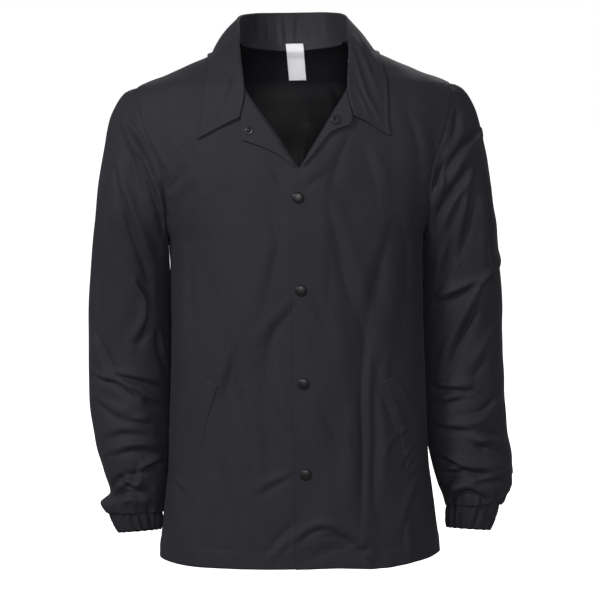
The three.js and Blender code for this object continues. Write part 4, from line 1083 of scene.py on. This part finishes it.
# The open pair: profile, and the lapel it is on with x and down there
OPEN_PAIR = [("snap_socket", SOCKET, "left", 53, 106), ("snap_stud", STUD, "right", 66, 119)]
for name, profile, side_name, x, down in OPEN_PAIR:
    points, outs = (grid.reshape(-1, 3) for grid in lapel_points[side_name])
    nearest = np.argmin((np.abs(points[:, 0]) - x) ** 2 + (points[:, 2] + down) ** 2)
    turned_snap(name, profile, points[nearest] + outs[nearest] * 0.2, outs[nearest])


# Camera and light: a long lens from slightly above, and a bright, even studio with its main
# light from the upper left.

floor_bm = bmesh.new()
bmesh.ops.create_circle(floor_bm, cap_ends=True, radius=40, segments=96)
bmesh.ops.translate(floor_bm, verts=floor_bm.verts, vec=(0, 0, -0.98))
floor_mesh = bpy.data.meshes.new("floor")
floor_bm.to_mesh(floor_mesh)
floor_bm.free()
floor = bpy.data.objects.new("floor", floor_mesh)
bpy.context.scene.collection.objects.link(floor)
floor_paint = bpy.data.materials.new("white studio floor")
floor_paint.use_nodes = True
floor_inputs = floor_paint.node_tree.nodes["Principled BSDF"].inputs
floor_inputs["Base Color"].default_value = linear("#fafafa")
floor_inputs["Roughness"].default_value = 0.9
floor_inputs["Emission Color"].default_value = linear("#ffffff")
floor_inputs["Emission Strength"].default_value = 1.0
floor_mesh.materials.append(floor_paint)
floor.visible_diffuse = False
floor.visible_glossy = False

world = bpy.data.worlds.new("white studio")
world.use_nodes = True
world.node_tree.nodes.clear()
# The backdrop is white to the eye, and lights the cloth less than the lamps do
seen = add_node(world, "ShaderNodeBackground", values={"Color": linear("#ffffff"), "Strength": 1.0})
cast = add_node(world, "ShaderNodeBackground", values={"Color": linear("#f4f5f8"), "Strength": 0.22})
ray = add_node(world, "ShaderNodeLightPath")
both = add_node(world, "ShaderNodeMixShader",
                links={0: ray.outputs["Is Camera Ray"], 1: cast.outputs[0], 2: seen.outputs[0]})
add_node(world, "ShaderNodeOutputWorld", links={"Surface": both.outputs[0]})
bpy.context.scene.world = world
bpy.context.scene.view_settings.view_transform = "Standard"

CHEST = Vector((0, 0, -0.364))


def set_up(name, data, place, turn):
    """A lamp or the camera, put in its place and turned."""
    item = bpy.data.objects.new(name, data)
    item.location = place
    item.rotation_mode = "QUATERNION"
    item.rotation_quaternion = turn
    bpy.context.scene.collection.objects.link(item)
    return item


def soft_light(name, place, size, watts):
    lamp = bpy.data.lights.new(name, "AREA")
    lamp.shape = "DISK"
    lamp.size = size
    lamp.energy = watts
    set_up(name, lamp, place, (CHEST - Vector(place)).to_track_quat("-Z", "Y"))


soft_light("main light", (-2.1, -1.9, 1.4), 0.7, 46)
soft_light("front light", (0.1, -3.0, 0.5), 0.6, 27)
soft_light("back light", (0.6, 2.4, 1.6), 1.6, 24)

azimuth, elevation, roll = np.radians([-2.0, 6.0, 0.89])
level = np.cos(elevation)
back_off = Vector((np.sin(azimuth) * level, -np.cos(azimuth) * level, np.sin(elevation)))
# A narrow lamp beside the camera lights the label inside the neck
label_lamp = bpy.data.lights.new("neck light", "SPOT")
label_lamp.spot_size = np.radians(1.9)
label_lamp.spot_blend = 0.4
label_lamp.shadow_soft_size = 0.05
label_lamp.energy = 260
label_lamp_place = CHEST + back_off * 3.0
toward_label = Vector((0.005, 0.068, -0.034)) - label_lamp_place
set_up("neck light", label_lamp, label_lamp_place, toward_label.to_track_quat("-Z", "Y"))

camera_data = bpy.data.cameras.new("camera")
camera_data.lens = 118.3
camera_data.sensor_width = 36
camera_data.shift_x = 0.005
camera_data.shift_y = 0.0033
rolled = Matrix.Rotation(-roll, 3, "Z").to_quaternion()
camera_turn = (-back_off).to_track_quat("-Z", "Y") @ rolled
camera = set_up("camera", camera_data, CHEST + back_off * 2.8, camera_turn)
bpy.context.scene.camera = camera
